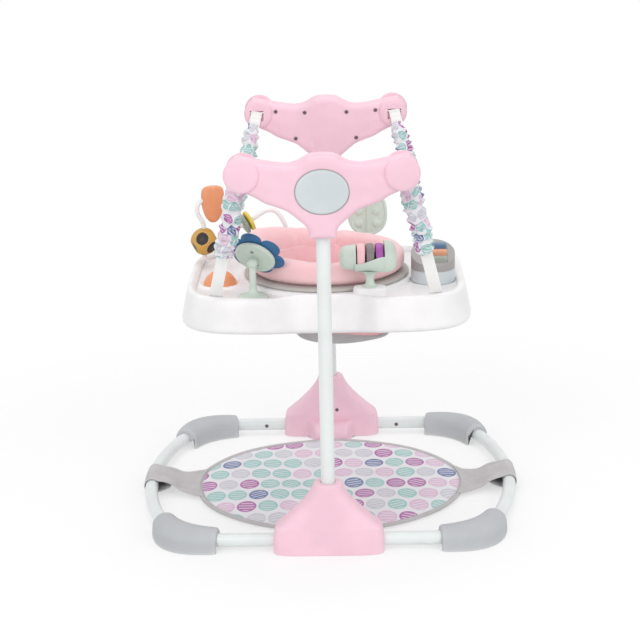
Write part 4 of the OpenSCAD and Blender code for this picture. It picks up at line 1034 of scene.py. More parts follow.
# Outlines and screws as shares of a head's half width and height
HEAD_TOP = [(-0.08, 0.996), (0, 1), (0.08, 0.996), (0.16, 0.984), (0.23, 0.95), (0.31, 0.906), (0.41, 0.88),
            (0.5, 0.878), (0.67, 0.9), (0.8, 0.925)]
HEAD_LOW = [(0.18, 0.09), (0.215, 0.155), (0.29, 0.22), (0.39, 0.3), (0.46, 0.345), (0.59, 0.395),
            (0.72, 0.44), (0.85, 0.515)]
SCREW_PLACES = [(0.74, 0.82), (0.31, 0.8), (0.45, 0.43)]


class JUMPER_OT_heads(bpy.types.Operator):
    """Two heads, each of an outer and an inner shell with rounded edges that meet in a fine groove"""

    bl_idname = "jumper.heads"
    bl_label = "Head shells"

    EDGE_OUT, EDGE_IN, BULGE_OUT, BULGE_IN, BULGE_REACH = mm([11, 12, 2.5, 4, 48])
    NECK_STEPS = [-3, -2, -1.2, -0.5, 0.3, 1, 1.8, 3, 5]
    # Draw and distance from the groove, near the groove
    GROOVE = [(0, 1.4), (0.25, 0.8), (0.9, 0.25)]

    def execute(self, context):
        s = sizes()
        half, arm, collar = s.hub_gap / 2, s.hub_d / 2 - ARM_INSET, s.collar_d / 2

        def along(shares, turns):
            hub = [(half + arm * cos(t), s.hub_rise + arm * sin(t)) for t in np.radians(turns)]
            return [(x * half, z * s.head_h) for x, z in shares] + hub

        top = smooth(along(HEAD_TOP, range(75, -1, -15)), 500)
        low = np.vstack([[(0, 0), (collar - 2 * MM, 0)],
                         smooth([(collar, 2 * MM), *along(HEAD_LOW, range(-75, 1, 15))], 500)])
        x = np.concatenate([(half + arm) * np.sin(np.linspace(-pi / 2, pi / 2, 131)),
                            np.outer(SIDES, collar + mm(self.NECK_STEPS)).ravel()])
        x = np.unique(np.round(x, 6))
        z_top, z_low = np.interp(np.abs(x), *top.T), np.interp(np.abs(x), *low.T)
        z_top[[0, -1]] = z_low[[0, -1]] = s.hub_rise
        z = z_low[:, None] + (z_top - z_low)[:, None] * (0.5 - 0.5 * np.cos(np.linspace(0, pi, 37)))
        flat = np.stack([np.broadcast_to(x[:, None], z.shape), z], 2)
        rim = np.vstack([np.stack([x, z_top], 1), np.stack([x, z_low], 1)[-2:0:-1]])
        edge = spaced(np.vstack([rim, rim[:1]]), 1800)
        gap = [np.sqrt(((edge - p) ** 2).sum(1).min()) for p in flat.reshape(-1, 2)]
        gap = np.array(gap).reshape(z.shape)
        gap[:, [0, -1]] = gap[[0, -1]] = 0
        ahead = np.roll(rim, -1, 0) - np.roll(rim, 1, 0)
        inward = np.stack([ahead[:, 1], -ahead[:, 0]], 1)
        inward /= np.linalg.norm(inward, axis=1)[:, None]
        for side, name in ENDS:
            for kind, out, depth, radius, bulge in (("outer", 1, s.shell_out, self.EDGE_OUT, self.BULGE_OUT),
                                                    ("inner", -1, s.shell_in, self.EDGE_IN, self.BULGE_IN)):
                near = np.minimum(gap, radius)
                rise = depth - radius + np.sqrt(np.maximum(0, radius ** 2 - (radius - near) ** 2))
                rise += bulge * (ease(gap / self.BULGE_REACH) - 0.5)
                base = depth - radius - bulge * 0.5
                face = np.stack([flat[..., 0], side * (post_y() + out * rise), s.head_z + z], 2)
                walls = []
                for draw, y in ((0, base), (0, base * 0.5), *mm(self.GROOVE)):
                    ring = rim + inward * draw + [0, s.head_z]
                    walls.append(np.insert(ring, 1, side * (post_y() + out * y), axis=1))
                shape = Shape().skin(face, wrap=False).skin(np.array(walls))
                shape.add(walls[-1], [tuple(range(len(rim)))])
                add_piece(f"head_{kind}_shell_{name}", shape, "frame", "pink_plastic", f"head_{kind}_{name}")
        return {"FINISHED"}


class JUMPER_OT_head_trim(bpy.types.Operator):
    """Oval plates, hub caps and strap guides of the heads"""

    bl_idname = "jumper.head_trim"
    bl_label = "Head trim"

    PLATE_RISE, SEAM = 0.58, 0.9
    # Draw and height of a plate's rings, and the seam's section
    PLATE = [(0, -1.5), (0, 1.2), (0.5, 2.1), (1.6, 2.7), (4, 3.1), (14, 3.6), (28, 3.9), (41, 4.0)]
    SEAM_RING = [(1.1, 0), (0, 0.9), (-1.1, 0), (0, -0.9)]
    CAP = [(0, 7.6), (14, 7.3), (24, 6.6), (30, 5.4), (33, 3.6), (34, 1.2), (34, -2.0)]
    DOME = [(0.2, 9), (16, 9), (23, 8.4), (28, 6.4), (31, 3.2), (32, 0.2), (32, -1.5)]
    SLOT_HALF, SLOT_DOWN, SLOT_UP, SLOT_DEPTHS, SLOT_EDGE = 15.5 * MM, 19 * MM, 5 * MM, (0.6, 14), 1.5 * MM

    def plates(self, s):
        a = turn(120)
        wide, high, face = s.badge_w / 2, s.badge_h / 2, post_y() + s.shell_out
        rise = s.head_z + s.head_h * self.PLATE_RISE

        def oval(grow, y, side):
            x, z = (wide + grow * MM) * np.cos(a), max(high + grow * MM, 0.5 * MM) * np.sin(a)
            return np.stack([x, np.full(120, side * (face + y * MM)), rise + z], 1)

        for side, name in ENDS:
            shape = Shape().skin(np.array([oval(-draw, y, side) for draw, y in self.PLATE]), ends=True)
            # Painted shade: the seam ring round each plate is in the darker grey roller finish, standing for
            # the shade in the groove round the plate.
            seam = [oval(self.SEAM + c, 1.1 + d, side) for c, d in self.SEAM_RING]
            shape.skin(np.array(seam), closed=True, mark=1)
            add_piece(f"plate_{name}", shape, "frame", "badge_grey", f"badge_{name}",
                      looks=("badge_grey", "roller_dark"), sharp=38)

    def execute(self, context):
        s = sizes()
        self.plates(s)
        cap, dome = lathe(smooth(self.CAP, 40) * MM, 72), lathe(smooth(self.DOME, 36) * MM, 96)
        caps, guides, slots = Shape(), Shape(), Shape()
        for side, end, name in CORNERS:
            x, z = side * s.hub_gap / 2, s.head_z + s.hub_rise
            for form, rows, y, spin in ((caps, cap, post_y() + s.shell_out, -end),
                                        (guides, dome, post_y() - s.shell_in, end)):
                place = Matrix.Translation((x, end * y, z)) @ Matrix.Rotation(spin * pi / 2, 4, "X")
                form.skin(placed(rows, place), ends=True)
            x, z = x + side * ARM_INSET, z + s.pin_d
            near, far = sorted(end * (post_y() - s.shell_in - depth * MM) for depth in self.SLOT_DEPTHS)
            slots.block((x - self.SLOT_HALF, near, z - self.SLOT_DOWN),
                        (x + self.SLOT_HALF, far, z + self.SLOT_UP), self.SLOT_EDGE)
        add_piece("hub_caps_round", caps, "frame", "pink_plastic", "hub_caps")
        piece = finish("guide_domes", guides, ["pink_plastic"], sharp=40)
        cut(piece, finish("guide_slots", slots, ["pink_plastic"]))
        belongs(piece, "frame", "pink_plastic", "strap_guides")
        dress("strap_pins", "spring_steel")
        return {"FINISHED"}


class JUMPER_OT_screws(bpy.types.Operator):
    """Screws in the heads and housings and rivets in the tubes"""

    bl_idname = "jumper.screws"
    bl_label = "Screws"

    HEAD_D, HEAD_H, RIVET_SETBACK = 9 * MM, 1.8 * MM, 50 * MM
    HOUSING_X, HOUSING_Z, HOUSING_FACE = 14 * MM, 67 * MM, 32.8 * MM

    def execute(self, context):
        s = sizes()
        low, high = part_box("base_screws")
        inner = min(max(abs(low[1]), abs(high[1])), post_y() - self.HOUSING_FACE)
        places = {"head": [], "base": []}
        for end in SIDES:
            for side in SIDES:
                face = end * (post_y() - s.shell_in)
                places["head"] += [(side * x * s.hub_gap / 2, face, s.head_z + z * s.head_h)
                                   for x, z in SCREW_PLACES]
                rivet = side * (straight_half() - self.RIVET_SETBACK)
                places["base"].append((rivet, end * (post_y() - s.tube_d / 2), s.tube_z))
            places["base"].append((self.HOUSING_X, end * inner, self.HOUSING_Z))
        for name, points in places.items():
            aims = [(0, -np.sign(point[1]), 0) for point in points]
            piece = repeat(f"{name}_screw_heads", screw_tree(), points, [], aims, {
                "Diameter": self.HEAD_D, "Height": self.HEAD_H, "Material": finish_of("screw_dark")})
            belongs(piece, "frame", "screw_dark", f"{name}_screws")
        return {"FINISHED"}


# Straps

def strap_frame(side, end):
    """The top of a strap, its direction, its width direction and its length."""
    s = sizes()
    top = np.array([s.hub_gap / 2 + ARM_INSET, post_y() - s.shell_in - s.guide_t / 2,
                    s.head_z + s.hub_rise + s.pin_d])
    way = np.array([s.slot_x, s.slot_y, s.rim_z - s.deck_drop]) - top
    long = np.linalg.norm(way)
    way /= long
    flip = np.array([side, end, 1])
    wide = np.cross([0, 1, 0], way)
    wide = np.cross(way, np.cross(wide, way))
    wide /= np.linalg.norm(wide)
    return top * flip, way * flip, wide * flip, long


BAND = [(-1, 0), (-0.97, 0.7), (-0.9, 1), (0.9, 1), (0.97, 0.7), (1, 0), (0.97, -0.7), (0.9, -1), (-0.9, -1),
        (-0.97, -0.7)]


def strip(shape, line, wide, out):
    """A flat band of webbing along a line, with soft edges."""
    width, thick = sizes().strap_w, sizes().strap_t
    rows = [[p + wide * u * width / 2 + o * w * thick / 2 for u, w in BAND] for p, o in zip(line, out)]
    across = [u * width / 2 + (0.1 if w < 0 else 0.05) for u, w in BAND + BAND[:1]]
    cloth = [[(u, gone + 0.01) for u in across] for gone in gone_along(line)]
    shape.skin(np.array(rows), ends=True, cloth=cloth)


class JUMPER_OT_straps(bpy.types.Operator):
    """Webbing at the top and bottom of the four straps, with its stitching and buckles"""

    bl_idname = "jumper.straps"
    bl_label = "Straps"

    SEAM_OUT, SWAY, SWAY_END, LIFT = 0.42, 1.2 * MM, 60 * MM, 0.2 * MM
    CROSS_SEAMS = (13 * MM, 24 * MM)

    def execute(self, context):
        s = sizes()
        tops, tails, seams = Shape(), Shape(), []
        for side, end, name in CORNERS:
            top, way, wide, long = strap_frame(side, end)
            out = np.cross(wide, way)
            out /= np.linalg.norm(out)
            if out[1] * end > 0:
                out = -out
            loop = s.pin_d / 2 + self.LIFT + s.strap_t / 2
            ring = np.array([top + loop * (np.cos(t) * out + np.sin(t) * -way)
                             for t in np.linspace(-0.5 * pi, 1.5 * pi, 20)])
            strip(tops, ring, wide, (ring - top) / loop)
            strip(tops, top + way * np.linspace(loop, s.top_len, 14)[:, None], wide, [out] * 14)
            start = s.top_len + s.spring_len + 0.6 * MM
            reach = np.linspace(start, long + s.tail_end, 30)[:, None]
            sway = self.SWAY * np.sin((reach - start) / (long - start) * pi * 2)
            sway *= ease((long - reach) / self.SWAY_END)
            strip(tails, top + way * reach + sway * out, wide, [out] * 30)

            def sewn(g, u):
                return top + way * g + wide * u * s.strap_w + out * (s.strap_t / 2 + self.LIFT)

            for u in (-self.SEAM_OUT, self.SEAM_OUT):
                seams.append([sewn(g, u) for g in np.linspace(12 * MM, s.top_len - 2 * MM, 20)])
            for g in self.CROSS_SEAMS:
                seams.append([sewn(g, u) for u in np.linspace(-self.SEAM_OUT, self.SEAM_OUT, 12)])
        add_piece("strap_top_webbing", tops, "frame", "webbing", "strap_tops", sharp=60)
        add_piece("strap_tail_webbing", tails, "tray", "webbing", "strap_tails", sharp=60)
        stitched("strap_stitches", seams, "frame", "webbing",
                 Spacing=3 * MM, Length=2.2 * MM, Thread=0.6 * MM)
        dress("strap_buckles", "grey_plastic")
        return {"FINISHED"}


class JUMPER_OT_springs(bpy.types.Operator):
    """Four bounce springs inside the sleeves"""

    bl_idname = "jumper.springs"
    bl_label = "Bounce springs"

    TURNS = 8

    def execute(self, context):
        s = sizes()
        shape = Shape()
        radius = (s.spring_d - s.spring_wire) / 2
        t = np.linspace(0, 1, self.TURNS * 24 + 1)[:, None]
        spin = 2 * pi * self.TURNS * t
        run = s.top_len + 0.3 * MM + s.spring_wire / 2 + (s.spring_len - s.spring_wire) * t
        for side, end, name in CORNERS:
            top, way, wide, long = strap_frame(side, end)
            path = top + way * run + radius * (np.cos(spin) * wide + np.sin(spin) * np.cross(wide, way))
            shape.skin(tube(path, s.spring_wire / 2, 8), ends=True)
        piece = add_piece("spring_coils", shape, None, "spring_steel", "bounce_springs", sharp=60)
        top, way, wide, long = strap_frame(1, -1)
        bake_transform(piece)
        return {"FINISHED"}


class JUMPER_OT_sleeves(bpy.types.Operator):
    """Four gathered sleeves of printed cloth"""

    bl_idname = "jumper.sleeves"
    bl_label = "Gathered sleeves"

    FOLDS, FULLNESS, SEED, HIGH, ROUND = 10.5, 1.5, 40, 168, 72

    def execute(self, context):
        s = sizes()
        t = np.linspace(0, 1, self.HIGH)[:, None]
        a = np.append(turn(self.ROUND), 2 * pi)[None, :]
        down, left = t * s.cloth_len, (1 - t) * s.cloth_len
        drawn = (0.62 + 0.38 * ease(down / (30 * MM))) * (0.8 + 0.2 * ease(left / (14 * MM)))
        flat = 0.5 + 0.44 * ease(down / (34 * MM))
        for number, (side, end, name) in enumerate(CORNERS):
            top, way, wide, long = strap_frame(side, end)
            f = np.random.default_rng(self.SEED + number).uniform(0, 2 * pi, 10)
            fold = (self.FOLDS * t + 0.28 * np.sin(3.1 * pi * t + f[0]) + 0.3 * np.sin(a + f[1] + 4 * t)
                    + 0.2 * np.sin(2 * a + f[2] - 9 * t) + 0.1 * np.sin(3 * a + f[3] + 17 * t))
            puffed = np.abs(np.sin(pi * fold)) ** 0.6
            second = np.abs(np.sin(pi * (1.9 * fold + 0.4 * np.sin(2 * a + f[4])))) ** 0.8
            crease = 0.08 * np.sin(5 * a + f[5] + 14 * np.sin(5 * t + f[6])) * np.sin(pi * t)
            radius = s.cloth_d / 2 * (1.0 + 0.14 * t) * (0.5 + 0.42 * puffed + 0.1 * second + crease) * drawn
            sway = 2.0 * MM * np.sin(2 * pi * t * 1.3 + f[7])
            slide = 1.6 * MM * np.sin(2 * pi * fold) * np.minimum(1, 8 * np.minimum(t, 1 - t))
            rows = (top + way * (s.cloth_start + down + slide)[..., None]
                    + wide * (radius * np.cos(a) * 1.02 + sway)[..., None]
                    + np.cross(wide, way) * (radius * np.sin(a) * flat)[..., None])
            cloth = np.stack(np.broadcast_arrays(
                a * s.cloth_d / 2 * 1.25 + 0.1 * number, down * self.FULLNESS + 0.05), 2)
            piece = add_piece(f"sleeve_{name}", Shape().skin(rows[:, :-1], cloth=cloth), None, "sleeve_cloth",
                              f"cloth_sleeve_{name}", sharp=180)
            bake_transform(piece)
        return {"FINISHED"}


# Mat

class JUMPER_OT_mat(bpy.types.Operator):
    """Round padded foot mat with a bound edge"""

    bl_idname = "jumper.mat"
    bl_label = "Foot mat"

    WIDE, COUNT, QUILT = 1.065, 144, 1.1 * MM
    REACH = [*np.linspace(0.02, 0.9, 36), 0.93, 0.96, 0.985, 1.0]

    def execute(self, context):
        s = sizes()
        a = turn(self.COUNT)
        bound = s.binding_d
        body = s.mat_r - bound * 0.7
        wave = 1 + 0.004 * np.sin(5 * a + 1.0) + 0.003 * np.sin(9 * a + 0.4)
        plan = np.stack([np.cos(a) * wave * self.WIDE, np.sin(a) * wave, 0 * a], 1)
        self.pad(s, plan, body, bound)
        section = [(cos(t) * 0.95, sin(t) * (0.62 if cos(t) > 0 else 0.58)) for t in turn(14)]
        ring = plan * (s.mat_r - bound / 2) + [0, 0, s.mat_lift + bound / 2]
        outward = np.stack([np.cos(a), np.sin(a), 0 * a], 1)
        rows = np.array([ring + outward * u * bound * 0.78 + [0, 0, w * bound * 0.82] for u, w in section])
        along = np.arange(self.COUNT + 1) * s.mat_r * 2 * pi / self.COUNT
        cloth = [[(0.01 * k + 0.01, gone + 0.01) for gone in along] for k in range(len(section) + 1)]
        shape = Shape().skin(rows, closed=True, cloth=cloth)
        add_piece("mat_binding", shape, "frame", "wing_cloth", sharp=80)
        seam = plan * (s.mat_r - bound * 1.35) + [0, 0, s.mat_lift + bound * 0.98]
        stitched("mat_stitches", [np.vstack([seam, seam[:1]])], "frame", "wing_cloth",
                 Spacing=5 * MM, Length=3.4 * MM, Thread=0.8 * MM)
        return {"FINISHED"}

    def pad(self, s, plan, body, bound):
        """The printed pad, quilted on top and flat below."""
        rows, cloth = [], []
        for under in (False, True):
            for r in self.REACH[::-1] if under else self.REACH:
                x, y = (plan[:, :2] * r * body).T
                if under:
                    z = np.full(self.COUNT, 0.6 * MM + bound * 0.2 * r ** 8)
                else:
                    z = np.sin(31 * x + 13 * y) + np.sin(-17 * x + 37 * y + 2)
                    z += 0.7 * np.sin(34.8 * x - 43 * y + 1)
                    crown = (s.mat_t - bound * 0.5 - 2.5 * MM) * sqrt(max(0, 1 - r ** 4))
                    z = self.QUILT * z * (1 - r ** 6) + bound * 0.5 + crown
                rows.append(np.stack([x, y, s.mat_lift + z], 1))
                cloth.append(np.stack([np.append(x, x[0]), np.append(y, y[0])], 1) + 0.5)
        piece = finish("mat", Shape().skin(np.array(rows), ends=True, cloth=cloth), ["mat_cloth"], sharp=70)
        now = points_of(piece)
        puff(piece, np.hypot(now[:, 0] / self.WIDE, now[:, 1]) > body * 0.93, 0.4, 4 * MM, frames=14)
        belongs(piece, "frame", "mat_cloth", "foot_mat")


class JUMPER_OT_wings(bpy.types.Operator):
    """Two cloth wings that run from the mat and loop round the side tubes"""

    bl_idname = "jumper.wings"
    bl_label = "Mat wings"

    THICK, LOOP_GAP, FLARE, SEED = 1.4 * MM, 2.2 * MM, 1.02, 7
    # Share of the way from mat to tube, and there the share of the width at the mat
    TAPER = [(-0.1, FLARE), (0, 1), (0.25, 0.78), (0.5, 0.64)]
    SEWN = slice(3, 52)

    def execute(self, context):
        s = sizes()
        corner_y, bend, side_r, side_x = ring_facts()
        tube_x, loop = s.base_w / 2, s.tube_d / 2 + self.LOOP_GAP
        edge = s.mat_r * JUMPER_OT_mat.WIDE
        line = [(edge - 7 * MM, s.mat_lift + 8.5 * MM), (edge + 12 * MM, 10 * MM), (edge + 36 * MM, 14 * MM)]
        line += [(tube_x - 42 * MM, 25 * MM)]
        line += [(tube_x - loop * cos(t), s.tube_z + loop * sin(t))
                 for t in np.linspace(1.05, 5.2, 22)]
        line += [(tube_x - 26 * MM, 12.5 * MM), (tube_x - 42 * MM, 20.5 * MM)]
        path = smooth(line, 90)
        gap = (path[:, 0] - edge) / (tube_x - edge)
        taper = [(at, share * s.wing_w) for at, share in self.TAPER]
        taper += [(0.75, s.wing_loop_w * self.FLARE), (1, s.wing_loop_w), (1.3, s.wing_loop_w)]
        width = np.interp(gap, *np.array(taper).T)
        v = np.linspace(-1, 1, 41)
        way = np.gradient(path, axis=0)
        way /= np.linalg.norm(way, axis=1)[:, None]
        step = gone_along(path)
        cloth = [[(y * wide / 2 + 0.3, gone + 0.01) for y in v] for wide, gone in zip(width, step)]
        for side, name in FLANKS:
            f = np.random.default_rng(self.SEED + side).uniform(0, 2 * pi, 4)
            rows = []
            for k, (x, z) in enumerate(path):
                y, g = v * width[k] / 2, gap[k]
                free = ease(g / 0.12) * ease((0.86 - g) / 0.2) if k < 0.6 * (len(path) - 1) else 0.0
                sag = (2.6 * np.sin(9.5 * v + f[0] + 2 * g) + 1.6 * np.sin(17 * v + f[1] - 3 * g)) * MM * free
                bow = side_x + np.sqrt(side_r ** 2 - y ** 2) - tube_x
                hollow = edge * (1 - np.sqrt(1 - (y / s.mat_r) ** 2))
                shift = bow * np.clip(g, 0, 1) - hollow * np.clip(1 - g * 2.4, 0, 1)
                rows.append(np.stack([side * (x + shift - way[k, 1] * sag), y, z + way[k, 0] * sag], 1))
            rows = np.array(rows)
            shape = Shape().skin(rows, wrap=False, cloth=cloth)
            piece = finish(f"wing_{name}", shape, ["wing_cloth"], sharp=180)
            area = thicken(piece, self.THICK)
            belongs(piece, "frame", "wing_cloth", f"mat_wing_{name}")
            seams = [rows[self.SEWN, c] + [0, 0, 1.1 * MM] for c in (1, -2)]
            stitched(f"wing_stitches_{name}", seams, "frame", "wing_cloth",
                     Spacing=4.5 * MM, Length=3 * MM, Thread=0.8 * MM)
        return {"FINISHED"}


# Tray

TRAY_POWER, WAIST_FLAT, WAIST_END = 5, 55 * MM, 112 * MM
# Places of the toys on the deck, in millimetres
SPOTS = {"ball": (-224, -60), "pod": (225, -60), "flower": (-141, -157.5), "flower_foot": (-145, -171),
         "leaf": (91, 181.5), "roller": (91, -184), "arch": (-256, 112)}


def waist_share(x, y, half_d):
    """How far a point of the tray's edge is drawn in at the waist."""
    return (1 - ease((np.abs(x) - WAIST_FLAT) / (WAIST_END - WAIST_FLAT))) * np.abs(y) / half_d


def tray_plan(inset, count):
    s = sizes()
    a = turn(count)
    half_w, half_d = s.tray_w / 2 - inset, s.tray_d / 2 - inset
    bow = (np.abs(np.cos(a)) / half_w) ** TRAY_POWER + (np.abs(np.sin(a)) / half_d) ** TRAY_POWER
    x, y = bow ** (-1 / TRAY_POWER) * np.stack([np.cos(a), np.sin(a)])
    return np.stack([x, y - np.sign(y) * s.waist * waist_share(x, y, half_d)], 1)


def deck_z():
    s = sizes()
    return s.rim_z - s.deck_drop


def spot(name, rise=0.0):
    """The place of a toy at a height above the deck."""
    x, y = SPOTS[name]
    return np.array([x * MM, y * MM, deck_z() + rise])


class JUMPER_OT_tray(bpy.types.Operator):
    """Tray body with a rolled rim, and its deck with lips, a boss and strap slots"""

    bl_idname = "jumper.tray"
    bl_label = "Tray"

    COUNT, HANG, WAIST_HANG, FLOOR = 360, 6 * MM, 7 * MM, 3 * MM
    PROFILE = [(34.5, -18), (33.5, -14), (30.3, -12), (30.2, -8), (29.2, -4.2), (27, -1.4), (23.5, -0.1),
               (19.5, 0.15), (15.8, -0.7), (13, -3.4), (11.3, -8), (9.2, -16), (5.8, -31), (2.6, -44),
               (0.4, -53.5), (0.3, -58), (2.2, -62.4), (6, -65.6), (11, -67), (16, -66.6), (17, -63),
               (14, -56), (15, -30), (19, -18)]
    DECK_STEPS = [0, 0.01, *np.linspace(0.02, 0.2, 7), *np.linspace(0.22, 0.46, 22),
                  *np.linspace(0.5, 1, 34)]
    # Radius and height of the lip round each toy's foot
    WELLS = {"ball": (42, 4.0), "pod": (50, 3.0), "flower_foot": (34, 2.0), "leaf": (20, 2.0)}
    BOSS_PLACE, BOSS_W, BOSS_D = (91 * MM, -183 * MM), 70 * MM, 34 * MM
    BOSS = [(-1.5, -1), (-0.4, 0.6), (0, 3), (0.6, 18), (1.2, 20.6), (2.6, 22.3), (5, 23), (14, 23)]
    SLOT_LIP = [(0, 0.4), (0.3, 1.6), (1.2, 2.2), (2.4, 1.8), (3.4, 0.3), (3.4, -0.6), (0, -0.6)]

    def execute(self, context):
        s = sizes()
        edge = tray_plan(0, self.COUNT)
        hang = self.HANG + self.WAIST_HANG * waist_share(*edge.T, s.tray_d / 2)
        rows = []
        for inset, z in smooth(mm(self.PROFILE), 110):
            drop = hang * ease((-z - 18 * MM) / (36 * MM))
            rows.append(np.column_stack([tray_plan(inset, self.COUNT), s.rim_z + z - drop]))
        shape = Shape().skin(np.array(rows), closed=True)
        add_piece("tray_shell", shape, "tray", "tray_white", "tray_body", sharp=60)
        self.deck(s)
        dress("ball_cup", "tray_white")
        return {"FINISHED"}

    def deck(self, s):
        level = deck_z()
        outer = tray_plan(s.rim_w + 0.6 * MM, self.COUNT)
        inner = outer / np.linalg.norm(outer, axis=1)[:, None] * s.seat_hole_r
        top = []
        for t in self.DECK_STEPS:
            at = inner + (outer - inner) * t
            r = np.linalg.norm(at, axis=1)
            z = level + (s.deck_drop - 2 * MM) * (1 - ease((r - 184 * MM) / (5 * MM)))
            for name, (radius, lip) in self.WELLS.items():
                off = np.hypot(*(at - spot(name)[:2]).T) - radius * MM
                z += lip * MM * np.exp(-(off / (4 * MM)) ** 2) * (r > 190 * MM)
            top.append(np.column_stack([at, z]))
        under = np.array(top)[::-1] - [0, 0, self.FLOOR]
        skirt = [np.column_stack([inner, np.full(self.COUNT, level - down * MM)]) for down in (29, 26)]
        shape = Shape().skin(np.vstack([top, under[:-1], skirt]), closed=True)
        self.boss(shape, level)
        for side, end, name in CORNERS:
            self.slot(s, shape, [side * s.slot_x, end * s.slot_y], level)
        add_piece("tray_top", shape, "tray", "tray_white", "tray_deck", looks=("tray_white", "dark_plastic"))

    @staticmethod
    def stadium(wide, deep, count):
        a = turn(count)
        straight = (wide - deep) / 2 * np.sign(np.cos(a)) * (np.abs(np.cos(a)) > 1e-9)
        return np.stack([straight + deep / 2 * np.cos(a), deep / 2 * np.sin(a)], 1)

    def boss(self, shape, level):
        rows = []
        for draw, z in mm(self.BOSS):
            plan = self.stadium(self.BOSS_W - 2 * draw, self.BOSS_D - 2 * draw, 72) + self.BOSS_PLACE
            rows.append(np.column_stack([plan, np.full(72, level + z)]))
        shape.skin(np.array(rows), ends=True)

    def slot(self, s, shape, place, level):
        plan = self.stadium(s.strap_w + 8 * MM, 9 * MM, 48)
        way = plan / np.linalg.norm(plan, axis=1)[:, None]
        rows = [np.column_stack([plan + way * u + place, np.full(48, level + z)])
                for u, z in mm(self.SLOT_LIP)]
        shape.skin(np.array(rows), closed=True)
        # Painted shade: a dark sheet just above the deck inside each slot's lip stands for the shade in the
        # slot.
        shape.add(np.column_stack([plan + place, np.full(48, level + 0.35 * MM)]), [tuple(range(48))], mark=1)


# Seat

def seat_z():
    return deck_z() + sizes().deck_drop - 1.5 * MM


